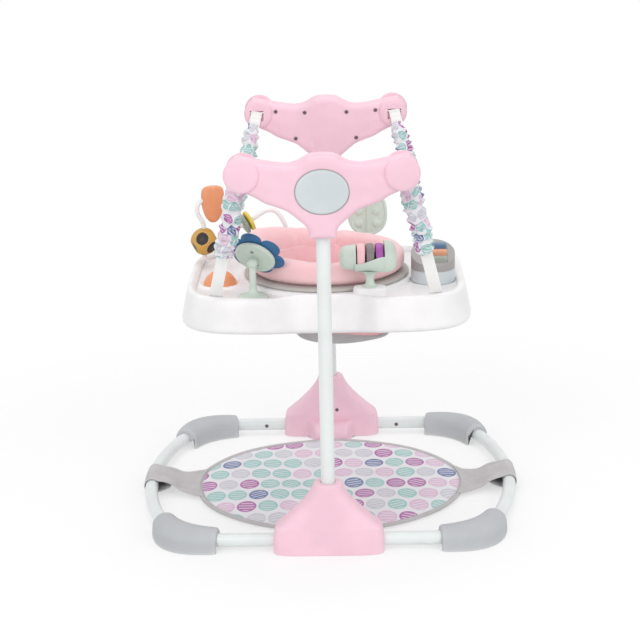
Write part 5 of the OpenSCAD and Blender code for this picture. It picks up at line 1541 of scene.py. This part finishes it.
class JUMPER_OT_seat(bpy.types.Operator):
    """Seat ring, padded bumper with a few folds and a high back, and the sling with its leg holes"""

    bl_idname = "jumper.seat"
    bl_label = "Seat"

    # Direction, depth and width of each fold
    FOLDS = [(275, 7, 6), (256, 3, 4), (292, 3.5, 4.5), (81, 9, 2.4), (116, 7, 2.2), (124, 8, 2.2),
             (98, 1, 3), (146, 1.5, 5), (172, 1.5, 5), (205, 3, 5), (232, 3, 4), (318, 2.5, 5), (342, 2, 4),
             (12, 2, 5), (38, 1.5, 4), (60, 1.5, 4)]
    # Direction, and the bumper's height there in 48ths of its least height
    BACK = [(0, 48), (60, 48), (90, 51), (110, 57), (130, 66), (155, 76), (180, 74), (205, 64), (230, 54),
            (260, 48), (360, 48)]
    AROUND, ROUND, HANGS = 324, 40, 216
    SPIN, LOW_R, SHIFT, THICK, PANEL_ROWS = 96, 108 * MM, 44 * MM, 1.6 * MM, 45

    def folds(self, a):
        """How far the cloth is drawn in at each direction."""
        turned = np.degrees(a) % 360
        drawn = np.zeros(len(a))
        for middle, deep, wide in self.FOLDS:
            off = (turned - middle + 180) % 360 - 180
            drawn += deep * MM * np.exp(-np.abs(off / wide) ** 1.4)
        return drawn

    def execute(self, context):
        s = sizes()
        self.ring(s)
        self.bumper(s)
        self.sling(s)
        return {"FINISHED"}

    def ring(self, s):
        inner, outer, tall = (s.seat_hole_r / MM - 3.5), s.ring_r / MM, s.ring_t / MM
        section = eased([(inner, -12, 1.2), (inner + 3, -12, 1.2), (inner + 3, 0.2, 1.0), (outer, 0.2, 2.4),
                         (outer, tall * 0.72, 3), (outer - 8, tall, 4), (inner, tall, 2)])
        shape = Shape().skin(lathe(section, 160) + [0, 0, seat_z()], closed=True)
        add_piece("seat_ring_round", shape, "seat", "ring_taupe", "seat_ring")

    def bumper(self, s):
        a = turn(self.AROUND)
        low = seat_z() + s.ring_t + 0.2 * MM
        mid = s.bumper_r - s.bumper_w / 2
        directions, heights = np.array(self.BACK).T
        tall = s.bumper_h / heights[0] * np.interp(np.degrees(a), directions, heights)
        drawn = self.folds(a)
        rows = []
        for t in turn(self.ROUND):
            up = (1 + sin(t)) / 2
            across = s.bumper_w / 2 * signed_power(cos(t), 0.8)
            across = across * (1 - 0.2 * up * (tall / s.bumper_h - 1))
            pull = drawn * (0.2 + 0.8 * up)
            r = mid + across - pull * cos(t) * 0.7 + 0.6 * (tall - s.bumper_h) * up ** 2
            z = tall * 0.955 * (1 + signed_power(sin(t), 0.8)) / 2 - 0.4 * pull * max(0, sin(t))
            rows.append(np.stack([r * np.cos(a), r * np.sin(a), low + 1.5 * MM + z], 1))
        along = np.arange(self.AROUND + 1) * mid * 2 * pi / self.AROUND
        cloth = [[(gone + 0.01, k * 0.0035 + 0.01) for gone in along] for k in range(self.ROUND + 1)]
        shape = Shape().skin(np.array(rows)[::-1], closed=True, cloth=cloth)
        piece = finish("bumper", shape, ["seat_cloth"], sharp=180)
        now = points_of(piece)
        seam = self.folds(np.arctan2(now[:, 1], now[:, 0])) > 2.4 * MM
        puff(piece, seam | (now[:, 2] < low + 3 * MM), 3.0, 4 * MM, frames=18)
        soft = piece.modifiers.new("Soft", "SUBSURF")
        soft.levels = soft.render_levels = 1
        belongs(piece, "seat", "seat_cloth", "seat_bumper")

    def sling(self, s):
        top, bottom = seat_z() + s.ring_t + 24 * MM, seat_z() - s.sling_drop * 0.42
        low, rim = seat_z() - s.sling_drop, s.bumper_r - s.bumper_w + 4 * MM
        a = turn(self.HANGS)
        drawn = self.folds(a)
        step = 2 * pi * self.LOW_R / self.HANGS
        rows, cloth = [], []
        for t in np.linspace(0, 1, 26):
            fold = 1.6 * MM * np.sin(15 * a + 1.2) * t - 0.5 * drawn * (1 - 0.6 * t)
            r = rim + (self.LOW_R - rim) * t ** 0.8 + fold
            z = np.full(self.HANGS, top + (bottom - top) * t)
            rows.append(np.stack([r * np.cos(a), r * np.sin(a), z], 1))
            cloth.append([(c * step + 0.01, 0.01 + t * (top - bottom)) for c in range(self.HANGS + 1)])
        panel, panel_cloth = self.panel(s, bottom, low)
        shape = Shape().skin(np.array(rows), cloth=cloth).skin(panel, wrap=False, cloth=panel_cloth)
        piece = finish("sling", shape, ["seat_cloth"], sharp=180)
        area = thicken(piece, self.THICK)
        belongs(piece, "seat", "seat_cloth", "seat_sling")
        binding = Shape()
        for rail in (panel[:, 0], panel[:, -1]):
            rows = tube(rail, 2.6 * MM, 12)
            along = np.linspace(0, 1, len(rail))
            tall = 1.6 + 2.8 * ease((along - 0.3) / 0.3)[:, None]
            rows[:, :, 2] = rail[:, None, 2] + (rows[:, :, 2] - rail[:, None, 2] + 1.6 * MM) * tall
            binding.skin(rows, ends=True, cloth=[[(0.01 * k, 0.4 * g) for k in range(13)] for g in along])
        add_piece("sling_binding", binding, "seat", "wing_cloth", sharp=60)

    def panel(self, s, bottom, low):
        """The crotch panel between the leg holes, and its cloth coordinates."""
        rows, cloth = [], []
        across = np.linspace(-1, 1, 21)
        for p in np.linspace(-1, 1, self.PANEL_ROWS):
            t = p * pi / 2
            wide = s.crotch_w / 2 * (1.15 + 0.1 * cos(t))
            hang = max(0, cos(t)) ** 0.3
            z = bottom + (low - bottom + 12 * MM * (1 - across)) * hang
            z += 0.8 * MM * np.sin(9 * across + 3 * t)
            reach = np.sqrt(np.maximum(self.LOW_R ** 2 - (wide * across) ** 2, 0)) / self.LOW_R
            edge = abs(p) ** 6
            y = (self.LOW_R - 1 * MM) * sin(t) * (1 - edge + edge * reach)
            rows.append(np.stack([wide * across, y, z], 1))
            cloth.append([(v * wide + 0.3, 0.3 + p * 0.15) for v in across])
        panel = placed(np.array(rows), Matrix.Rotation(radians(self.SPIN), 4, "Z"))
        middle = np.cos(np.linspace(-pi / 2, pi / 2, self.PANEL_ROWS))
        panel[:, :, 0] += self.SHIFT * np.sqrt(np.maximum(0, middle))[:, None]
        return panel, cloth


# Toys

def polar(outline, thick, count, rings, top, under):
    """A flat-lying toy face and back from an outline's radius by direction; returns closed rows."""
    a = turn(count)
    reach = 1 - (1 - np.linspace(0, 1, rings)) ** 1.7
    rows = []
    for sign, field, order in ((1, top, reach), (-1, under, reach[::-1])):
        for r in order:
            x, y = outline * r * np.cos(a), outline * r * np.sin(a)
            z = np.full(count, sign * thick / 2 * (1 - r ** 7) ** 0.5)
            rows.append(np.stack([x, y, z + field(x, y, r, a)], 1))
    return np.array(rows)


class JUMPER_OT_flower(bpy.types.Operator):
    """Flower on its stand: cupped petals, a back disc and a rounded foot"""

    bl_idname = "jumper.flower"
    bl_label = "Flower"

    PITCH, TURN, THICK, BACK, HUB_R = radians(54), radians(68), 9 * MM, 7 * MM, 11 * MM
    # Radius, height under the petals and edge radius of the back disc
    DISC = [(0.2, 3, 0.05), (34, 3, 2), (42.6, 1, 1.4), (43, -3.4, 1.6), (39, -7, 1.4), (36.5, -7, 0.6),
            (35, -5.7, 0.6), (32, -5.7, 0.5), (4, -5.7, 0.5), (0.2, -5.7, 0.05)]
    SCREW = [(0.1, 0), (1.2, 0.2), (1.5, -0.6), (3.2, -0.8), (3.9, 0.2), (4, 1.2)]
    STEM = [(0.2, 0.15), (26, 0.15), (30, 1.4), (30.6, 3.4), (28, 6.2), (20, 8.8), (12, 12), (8.6, 17),
            (7.3, 26), (6.9, 36)]

    def execute(self, context):
        s = sizes()
        mid = spot("flower", s.flower_rise)
        place = Matrix.Translation(mid) @ Matrix.Rotation(self.TURN, 4, "Z")
        place = place @ Matrix.Rotation(self.PITCH, 4, "Y")
        outline = s.flower_d / 2 * (0.73 + 0.27 * np.abs(np.cos(3 * turn(216))) ** 0.6)

        def petal(x, y, r, angle):
            notch = np.exp(-(np.cos(3 * angle) / 0.28) ** 2)
            return 5 * MM * r ** 2 - 2.2 * MM * notch * ease(r / 0.7)

        def centre(x, y, r, angle):
            return petal(x, y, r, angle) + 4 * MM * (1 - ease((np.hypot(x, y) - 14 * MM) / (5 * MM)))

        shape = Shape().skin(placed(polar(outline, self.THICK, 216, 30, centre, petal), place), ends=True)
        add_piece("petals", shape, "flower", "blue_plastic", "flower_petals", sharp=60)
        disc = place @ Matrix.Translation((0, 0, -self.THICK / 2))
        shape = Shape().skin(placed(lathe(eased(self.DISC), 96), disc), closed=True)
        for x in (-20, 20):
            local = disc @ Matrix.Translation((x * MM, 0, 1.2 * MM - self.BACK))
            shape.skin(placed(lathe(mm(self.SCREW), 24), local), ends=True, mark=1)
        add_piece("flower_disc", shape, "flower", "sage_plastic", "flower_back",
                  looks=("sage_plastic", "screw_dark"))
        way = np.array(place)[:3, 2]
        hub = mid - way * (self.THICK / 2 + self.BACK + self.HUB_R + 1 * MM)
        stem = np.vstack([smooth(self.STEM, 60) * MM, [(6.9 * MM, hub[2] - deck_z() - 4 * MM)]])
        joint = [(self.HUB_R * sin(t) + 0.01 * MM, -self.HUB_R * cos(t))
                 for t in np.linspace(0, pi, 24)]
        shape = Shape().skin(lathe(stem, 64) + [hub[0], hub[1], deck_z()], ends=True)
        shape.skin(lathe(joint, 48) + hub, ends=True)
        shape.skin(tube(hub + way * np.linspace(0, 24 * MM, 8)[:, None], 4 * MM, 24), ends=True)
        add_piece("flower_stem", shape, "tray", "sage_plastic", "flower_stand", sharp=60)
        return {"FINISHED"}


class JUMPER_OT_rollers(bpy.types.Operator):
    """Three smooth rollers in a cradle with a round end and a narrower one"""

    bl_idname = "jumper.rollers"
    bl_label = "Rollers"

    GAP, SLACK, BORE, TURN = 2, 0.7, 4.6, radians(3)
    KINDS = (("pink", "roller_coral"), ("grey", "roller_dark"), ("purple", "roller_violet"))
    # Side, width and length of the cradle's ends
    CHEEKS = ((-1, 0.8, 1.5), (1, 1.0, 1.15))
    NECK = [(0.2, 23.2), (16, 23.2), (16.6, 24.2), (13, 26), (9.6, 30), (8.4, 38), (9.6, 46), (14, 52),
            (20, 56.5), (0.2, 57)]

    def execute(self, context):
        s = sizes()
        base = Matrix.Translation(spot("roller")) @ Matrix.Rotation(self.TURN, 4, "Z")
        shaft = base @ Matrix.Translation((0, 0, s.roller_rise)) @ Matrix.Rotation(pi / 2, 4, "Y")
        r, t, pitch = s.roller_d / 2 / MM, s.roller_t / MM - 2 * self.SLACK, s.roller_t / MM + self.GAP
        for k, (name, slot) in enumerate(self.KINDS):
            low = (k - 1.5) * pitch + self.GAP / 2 + self.SLACK
            section = eased([(self.BORE, low, 0.4), (r - 1.5, low, 1.8), (r, low + t * 0.35, 2.4),
                             (r, low + t * 0.65, 2.4), (r - 1.5, low + t, 1.8), (self.BORE, low + t, 0.4)], 6)
            shape = Shape().skin(placed(lathe(section, 96), shaft), closed=True)
            # Painted shade: each ring's side faces, inside its rounded rim, take the dark finish so that the
            # gaps between the rings read as shade.
            for f, face in enumerate(shape.faces):
                shape.marks[f] = int(max(section[i // 96, 0] for i in face) < (r - 2.2) * MM)
            add_piece(f"roller_{name}_ring", shape, f"roller_{name}", slot, f"roller_{name}",
                      looks=(slot, "dark_plastic"), sharp=60)
        shape = Shape()
        self.cradle(s, shape, base, shaft, r, 1.5 * pitch + 0.5)
        shape.skin(placed(lathe(smooth(self.NECK, 40) * MM, 64), base), closed=True)
        add_piece("roller_yoke", shape, "tray", "sage_plastic", "roller_stand")
        # Painted shade: the shaft takes the same dark finish, standing for shade in the gaps.
        dress("roller_shaft", "dark_plastic")
        return {"FINISHED"}

    def cradle(self, s, shape, base, shaft, r, span):
        """The two domed ends and the trough between them, in millimetres up to the skins."""
        wide = r + 4.5
        for side, share, long in self.CHEEKS:
            w = wide * share
            dome = smooth([(0.2, 0), (w - 1, 0), (w, 2.5), (w - 0.6, 8), (w * 0.9, 15), (w * 0.66, 20),
                           (w * 0.3, 22), (0.2, 22.2)], 44)
            rows = lathe(dome, 96)
            rows[:, :, 2] = side * (span + long * rows[:, :, 2])
            shape.skin(placed(rows * MM, shaft), closed=True)
        rows = []
        for x in np.linspace(-span - 3, span + 3, 25):
            share = ease((x + span) / (2 * span))
            out, lift = wide * (0.86 + 0.14 * share), 0.30 - 0.5 * share
            turns = np.linspace(pi + lift, 2 * pi - lift, 29)
            loop = [(out * cos(v), out * sin(v)) for v in turns]
            loop += [((r + 1.2) * cos(v), (r + 1.2) * sin(v)) for v in turns[::-1]]
            rows.append([(x, y, s.roller_rise / MM + z) for y, z in loop])
        shape.skin(placed(mm(rows), base), ends=True)


class JUMPER_OT_leaf(bpy.types.Operator):
    """Leaf paddle with a raised rim, midrib and domes on both faces"""

    bl_idname = "jumper.leaf"
    bl_label = "Leaf paddle"

    SINK, DOME_H, DOME_R, STEM_H, COUNT = 3.4 * MM, 4 * MM, 9.5 * MM, 44 * MM, 180
    STEM = [(0.2, 0), (14, 0), (16, 1.2), (16, 5), (13, 7.6), (8.4, 10), (6.4, 16), (6, 30), (6, 52)]

    def execute(self, context):
        s = sizes()
        t = np.linspace(0, 2 * pi, 721)
        x = s.leaf_w / 2 * np.cos(t) * (1 - 0.12 * np.sin(t))
        y = s.leaf_h / 2 * signed_power(np.sin(t), 0.85)
        angle = np.unwrap(np.arctan2(y, x))
        outline = np.interp(turn(self.COUNT), angle - angle[0], np.hypot(x, y))

        def rise(x, y, r, a):
            panel = ease((outline * (1 - r) - 4 * MM) / (3 * MM))
            rib = np.exp(-(x / (3.4 * MM)) ** 4) * ease((34 * MM - y) / (14 * MM))
            z = self.SINK * panel * (rib - 1)
            for u in (-1, 1):
                for v in (-1, 0, 1):
                    off = np.hypot(x - u * 0.22 * s.leaf_w, y - v * 0.25 * s.leaf_h)
                    z = z + self.DOME_H * np.sqrt(np.maximum(0, 1 - (off / self.DOME_R) ** 2))
            return z

        rows = polar(outline, s.leaf_t, self.COUNT, 64, rise, lambda *where: -rise(*where))
        rows[:, :, 2] = np.clip(rows[:, :, 2], -s.leaf_t / 2 - 1 * MM, s.leaf_t / 2 + 1 * MM)
        foot = spot("leaf", 0.3 * MM)
        stand = Matrix.Translation(foot + [0, 0, self.STEM_H + s.leaf_h / 2])
        stand = stand @ Matrix.Rotation(pi / 2, 4, "X")
        shape = Shape().skin(placed(rows, stand), ends=True)
        shape.skin(lathe(smooth(self.STEM, 50) * MM, 48) + foot, ends=True)
        add_piece("leaf_paddle", shape, "leaf", "sage_plastic", "leaf_toy", sharp=60)
        return {"FINISHED"}


class JUMPER_OT_ball(bpy.types.Operator):
    """Spinning ball with grooves, half sunk in the deck"""

    bl_idname = "jumper.ball"
    bl_label = "Spinning ball"

    SUNK, BORE_R, POLE = 6 * MM, 3.6 * MM, 0.115
    # Angle from the middle, depth and width of the grooves
    GROOVES = [(0, 1.4, 0.05), (-0.62, 0.9, 0.04), (0.62, 0.9, 0.04)]

    def execute(self, context):
        profile = []
        for t in np.linspace(self.POLE, pi - self.POLE, 90):
            r = sizes().ball_d / 2 - sum(deep * MM * exp(-((t - pi / 2 - at) / wide) ** 2)
                                         for at, deep, wide in self.GROOVES)
            profile.append((r * sin(t), -r * cos(t)))
        end = profile[-1][1]
        profile = [(self.BORE_R, -end), *profile, (self.BORE_R, end)]
        place = Matrix.Translation(spot("ball", -self.SUNK)) @ Matrix.Rotation(pi / 2, 4, "X")
        shape = Shape().skin(placed(lathe(profile, 96), place), closed=True)
        add_piece("ball", shape, "ball", "orange_plastic", "spin_ball", sharp=60)
        return {"FINISHED"}


# The bead arch's route, and the run of it that carries the discs, as shares of its width and height
RISE = ((0.37, 0.53), (0.55, 0.635))
ARCH = [(0, -0.08), (0, 0), (-0.03, 0.06), (-0.07, 0.12), (-0.07, 0.2), (-0.07, 0.36), (-0.07, 0.52),
        (-0.07, 0.6), (-0.1, 0.69), (-0.14, 0.79), (-0.14, 0.89), (-0.09, 0.96), (0, 0.995), (0.08, 1),
        (0.17, 0.965), (0.24, 0.86), (0.28, 0.68), (0.32, 0.55), (0.37, 0.53), (0.43, 0.565), (0.49, 0.6),
        (0.55, 0.635), (0.62, 0.685), (0.7, 0.73), (0.79, 0.725), (0.87, 0.64), (0.94, 0.47), (0.98, 0.26),
        (1, 0.1), (1, -0.08)]


class JUMPER_OT_beads(bpy.types.Operator):
    """Bead arch with its cage ball, leaf bead and two discs"""

    bl_idname = "jumper.beads"
    bl_label = "Beads"

    TURN, CAGE_AT, LEAF_AT, BORE_R = radians(21), (-0.07, 0.36), (0.05, 0.963), 5.9
    FOOT = [(5.1, 8), (6.2, 4), (9, 2), (11, 1.2), (11.4, 0.2)]
    DISCS = (("yellow", 2 / 3, "ochre_plastic", "yellow_plastic"),
             ("sage", 1 / 3, "sage_plastic", "sage_dark"))
    # Share of the leaf bead's length, and there the share of its half width or thickness
    LEAF_WIDTHS = [(-1, 0.5), (-0.96, 0.7), (-0.86, 0.88), (-0.65, 0.98), (-0.3, 1), (0, 0.97), (0.4, 0.84),
                   (0.7, 0.66), (0.88, 0.46), (0.96, 0.33), (1, 0.2)]
    LEAF_DEPTHS = [(-1, 0.55), (-0.9, 0.8), (-0.5, 1), (0.2, 1), (0.8, 0.75), (1, 0.4)]
    LEAF_L, LEAF_W, LEAF_T, LEAF_LOW, LEAF_BORE = 80 * MM, 26 * MM, 13 * MM, 9 * MM, 5.9 * MM

    def execute(self, context):
        s = sizes()
        place = Matrix.Translation(spot("arch")) @ Matrix.Rotation(self.TURN, 4, "Z")
        span = np.array([s.arch_w, s.arch_h])

        def on_arch(share):
            x, z = share * span
            return np.array([x, 0, z])

        path = smooth([on_arch(p) for p in ARCH], 150)
        shape = Shape().skin(placed(tube(path, s.wire_d / 2, 24), place), ends=True)
        for x in (0, s.arch_w):
            shape.skin(placed(lathe(smooth(self.FOOT, 16) * MM, 40) + [x, 0, 0], place), ends=True)
        add_piece("arch_wire", shape, "tray", "tray_white", "bead_arch", sharp=60)
        self.cage(s, place @ Matrix.Translation(on_arch(self.CAGE_AT)))
        self.leaf(place @ Matrix.Translation(on_arch(self.LEAF_AT)) @ Matrix.Rotation(pi / 2, 4, "Y"))
        start, way = on_arch(RISE[0]), on_arch(RISE[1]) - on_arch(RISE[0])
        tilt = Matrix.Rotation(pi / 2 - atan2(way[2], way[0]), 4, "Y")
        r, t = s.disc_d / 2 / MM, s.disc_t / MM
        half = [(self.BORE_R, t / 2, 0.4), (11, t / 2, 2), (r - 3, t / 2 - 0.8, 1.4), (r, t / 4, 1.2)]
        rows = lathe(eased([(x, -z, soft) for x, z, soft in half] + half[::-1]), 96)
        rows[:, :, :2] *= (1 - 0.05 * (1 - np.abs(np.cos(4 * turn(96)))))[None, :, None]
        for name, along, slot, look in self.DISCS:
            at = place @ Matrix.Translation(start + way * along) @ tilt
            shape = Shape().skin(placed(rows, at), closed=True)
            add_piece(f"disc_{name}", shape, f"bead_{name}", slot, f"bead_{name}", looks=(look,))
        return {"FINISHED"}

    def cage(self, s, place):
        """A ball whose round windows are sunk in, their floors in a dark finish: painted shade for the dark
        inside.
        """
        count, high = 144, 72
        a = turn(count)
        t = np.linspace(0.2, pi - 0.2, high)[:, None]
        way = np.stack(np.broadcast_arrays(np.sin(t) * np.cos(a), np.sin(t) * np.sin(a), -np.cos(t)), 2)
        sink = np.zeros((high, count))
        for k in range(3):
            for tip in (0.45, -0.45):
                spin = 2 * pi * k / 3 + (pi / 3 if tip < 0 else 0)
                eye = cos(spin) * cos(tip), sin(spin) * cos(tip), sin(tip)
                off = np.arccos(np.clip(way @ np.array(eye), -1, 1))
                sink = np.maximum(sink, 1 - ease((off - 0.5) / 0.06))
        rows = way * (s.cage_d / 2 - 4 * MM * sink)[..., None]
        end = lathe([(self.BORE_R * MM, rows[-1, 0, 2])], count)
        rows = np.concatenate([end * [1, 1, -1], rows, end])
        shape = Shape().skin(placed(rows, place), closed=True)
        # Painted shade: faces inside the sunk windows take the dark finish, standing for the shade inside the
        # ball.
        for k, c in np.argwhere((sink[:-1] + sink[1:]) / 2 > 0.5):
            shape.marks[(k + 1) * count + c] = 1
        add_piece("cage_ball", shape, "cage", "ochre_plastic", "bead_ball",
                  looks=("ochre_plastic", "dark_plastic"), sharp=60)

    def leaf(self, place):
        """A bead of leaf outline, broad at the top, with a ridge down each face."""
        share = np.linspace(-1, 1, 41)
        half = self.LEAF_W * np.interp(share, *np.array(self.LEAF_WIDTHS).T)
        thick = self.LEAF_T * np.interp(share, *np.array(self.LEAF_DEPTHS).T)
        a = turn(96)
        rows = []
        for q, h, t in zip(share, half, thick):
            z, y = h * signed_power(np.cos(a), 0.7), t * signed_power(np.sin(a), 0.75)
            y = y * (1 - 0.28 * np.abs(z / h) ** 2) + np.sign(y) * 1.2 * MM * np.exp(-(z / (3 * MM)) ** 2)
            rows.append(np.stack([np.full(96, q * self.LEAF_L / 2 + self.LEAF_LOW), y, z], 1))
        shape = Shape().skin(placed(np.array(rows), place), ends=True)
        piece = finish("leaf_bead", shape, ["orange_plastic"], sharp=40)
        bore = lathe([(self.LEAF_BORE, -self.LEAF_L / 2), (self.LEAF_BORE, self.LEAF_L / 2)], 40)
        cut(piece, finish("leaf_bore", Shape().skin(placed(bore, place), ends=True), ["orange_plastic"]))
        belongs(piece, "bead_leaf", "orange_plastic", "bead_leaf")


class JUMPER_OT_pod(bpy.types.Operator):
    """Round pod with a slanted cover and three keys"""

    bl_idname = "jumper.pod"
    bl_label = "Pod"

    KEYS = (("sage", "sage_plastic", "sage_dark"), ("orange", "orange_plastic", "orange_plastic"),
            ("blue", "blue_plastic", "blue_plastic"))
    RIB_PITCH, RIB_HALF, RIB_END, RIB_SUNK, RIB_H = mm([9, 1.6, 4, 1, 0.9])

    def execute(self, context):
        s = sizes()
        r, h = s.pod_d / 2 / MM, s.pod_base_h / MM
        section = eased([(0.2, 0, 0.05), (r - 2, 0, 1.2), (r, 4, 1.6), (r, h - 2, 1.0), (r - 1.6, h, 0.8),
                         (0.2, h, 0.05)])
        shape = Shape().skin(lathe(section, 96) + spot("pod", 0.15 * MM), closed=True)
        add_piece("pod_foot", shape, "tray", "pod_grey", "pod_base")
        dress("pod_cover", "pod_cover")
        for name, slot, look in self.KEYS:
            low, high = (np.array(v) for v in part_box(f"pod_key_{name}"))
            shape = Shape()
            shape.block(low, high, 2.6 * MM)
            for u in (-1, 0, 1):
                x = (low[0] + high[0]) / 2 + u * self.RIB_PITCH
                shape.block((x - self.RIB_HALF, low[1] + self.RIB_END, high[2] - self.RIB_SUNK),
                            (x + self.RIB_HALF, high[1] - self.RIB_END, high[2] + self.RIB_H), 0.8 * MM)
            add_piece(f"key_{name}_cap", shape, f"key_{name}", slot, f"pod_key_{name}", looks=(look,))
        return {"FINISHED"}


class JUMPER_PT_panel(bpy.types.Panel):
    """Buttons that build the jumper piece by piece"""

    bl_idname = "JUMPER_PT_panel"
    bl_label = "Activity jumper"
    bl_space_type = "VIEW_3D"
    bl_region_type = "UI"
    bl_category = "Jumper"

    def draw(self, context):
        for step in STEPS:
            self.layout.operator(step.bl_idname)
        for group in (context.scene.jumper_sizes, context.scene.jumper_colours):
            for key in group.bl_rna.properties.keys():
                if key not in ("rna_type", "name"):
                    self.layout.prop(group, key)


STEPS = (
    JUMPER_OT_stage, JUMPER_OT_base_tubes, JUMPER_OT_feet, JUMPER_OT_housings, JUMPER_OT_heads,
    JUMPER_OT_head_trim, JUMPER_OT_screws, JUMPER_OT_straps, JUMPER_OT_springs, JUMPER_OT_sleeves,
    JUMPER_OT_mat, JUMPER_OT_wings, JUMPER_OT_tray, JUMPER_OT_seat, JUMPER_OT_flower, JUMPER_OT_rollers,
    JUMPER_OT_leaf, JUMPER_OT_ball, JUMPER_OT_beads, JUMPER_OT_pod)
CLASSES = (JumperSizes, JumperColours, *STEPS, JUMPER_PT_panel)


def register():
    for item in CLASSES:
        bpy.utils.register_class(item)
    bpy.types.Scene.jumper_sizes = PointerProperty(type=JumperSizes)
    bpy.types.Scene.jumper_colours = PointerProperty(type=JumperColours)


def unregister():
    del bpy.types.Scene.jumper_colours
    del bpy.types.Scene.jumper_sizes
    for item in reversed(CLASSES):
        bpy.utils.unregister_class(item)


def main():
    register()
    for step in STEPS:
        getattr(bpy.ops.jumper, step.bl_idname.split(".")[1])()


if __name__ == "__main__":
    main()
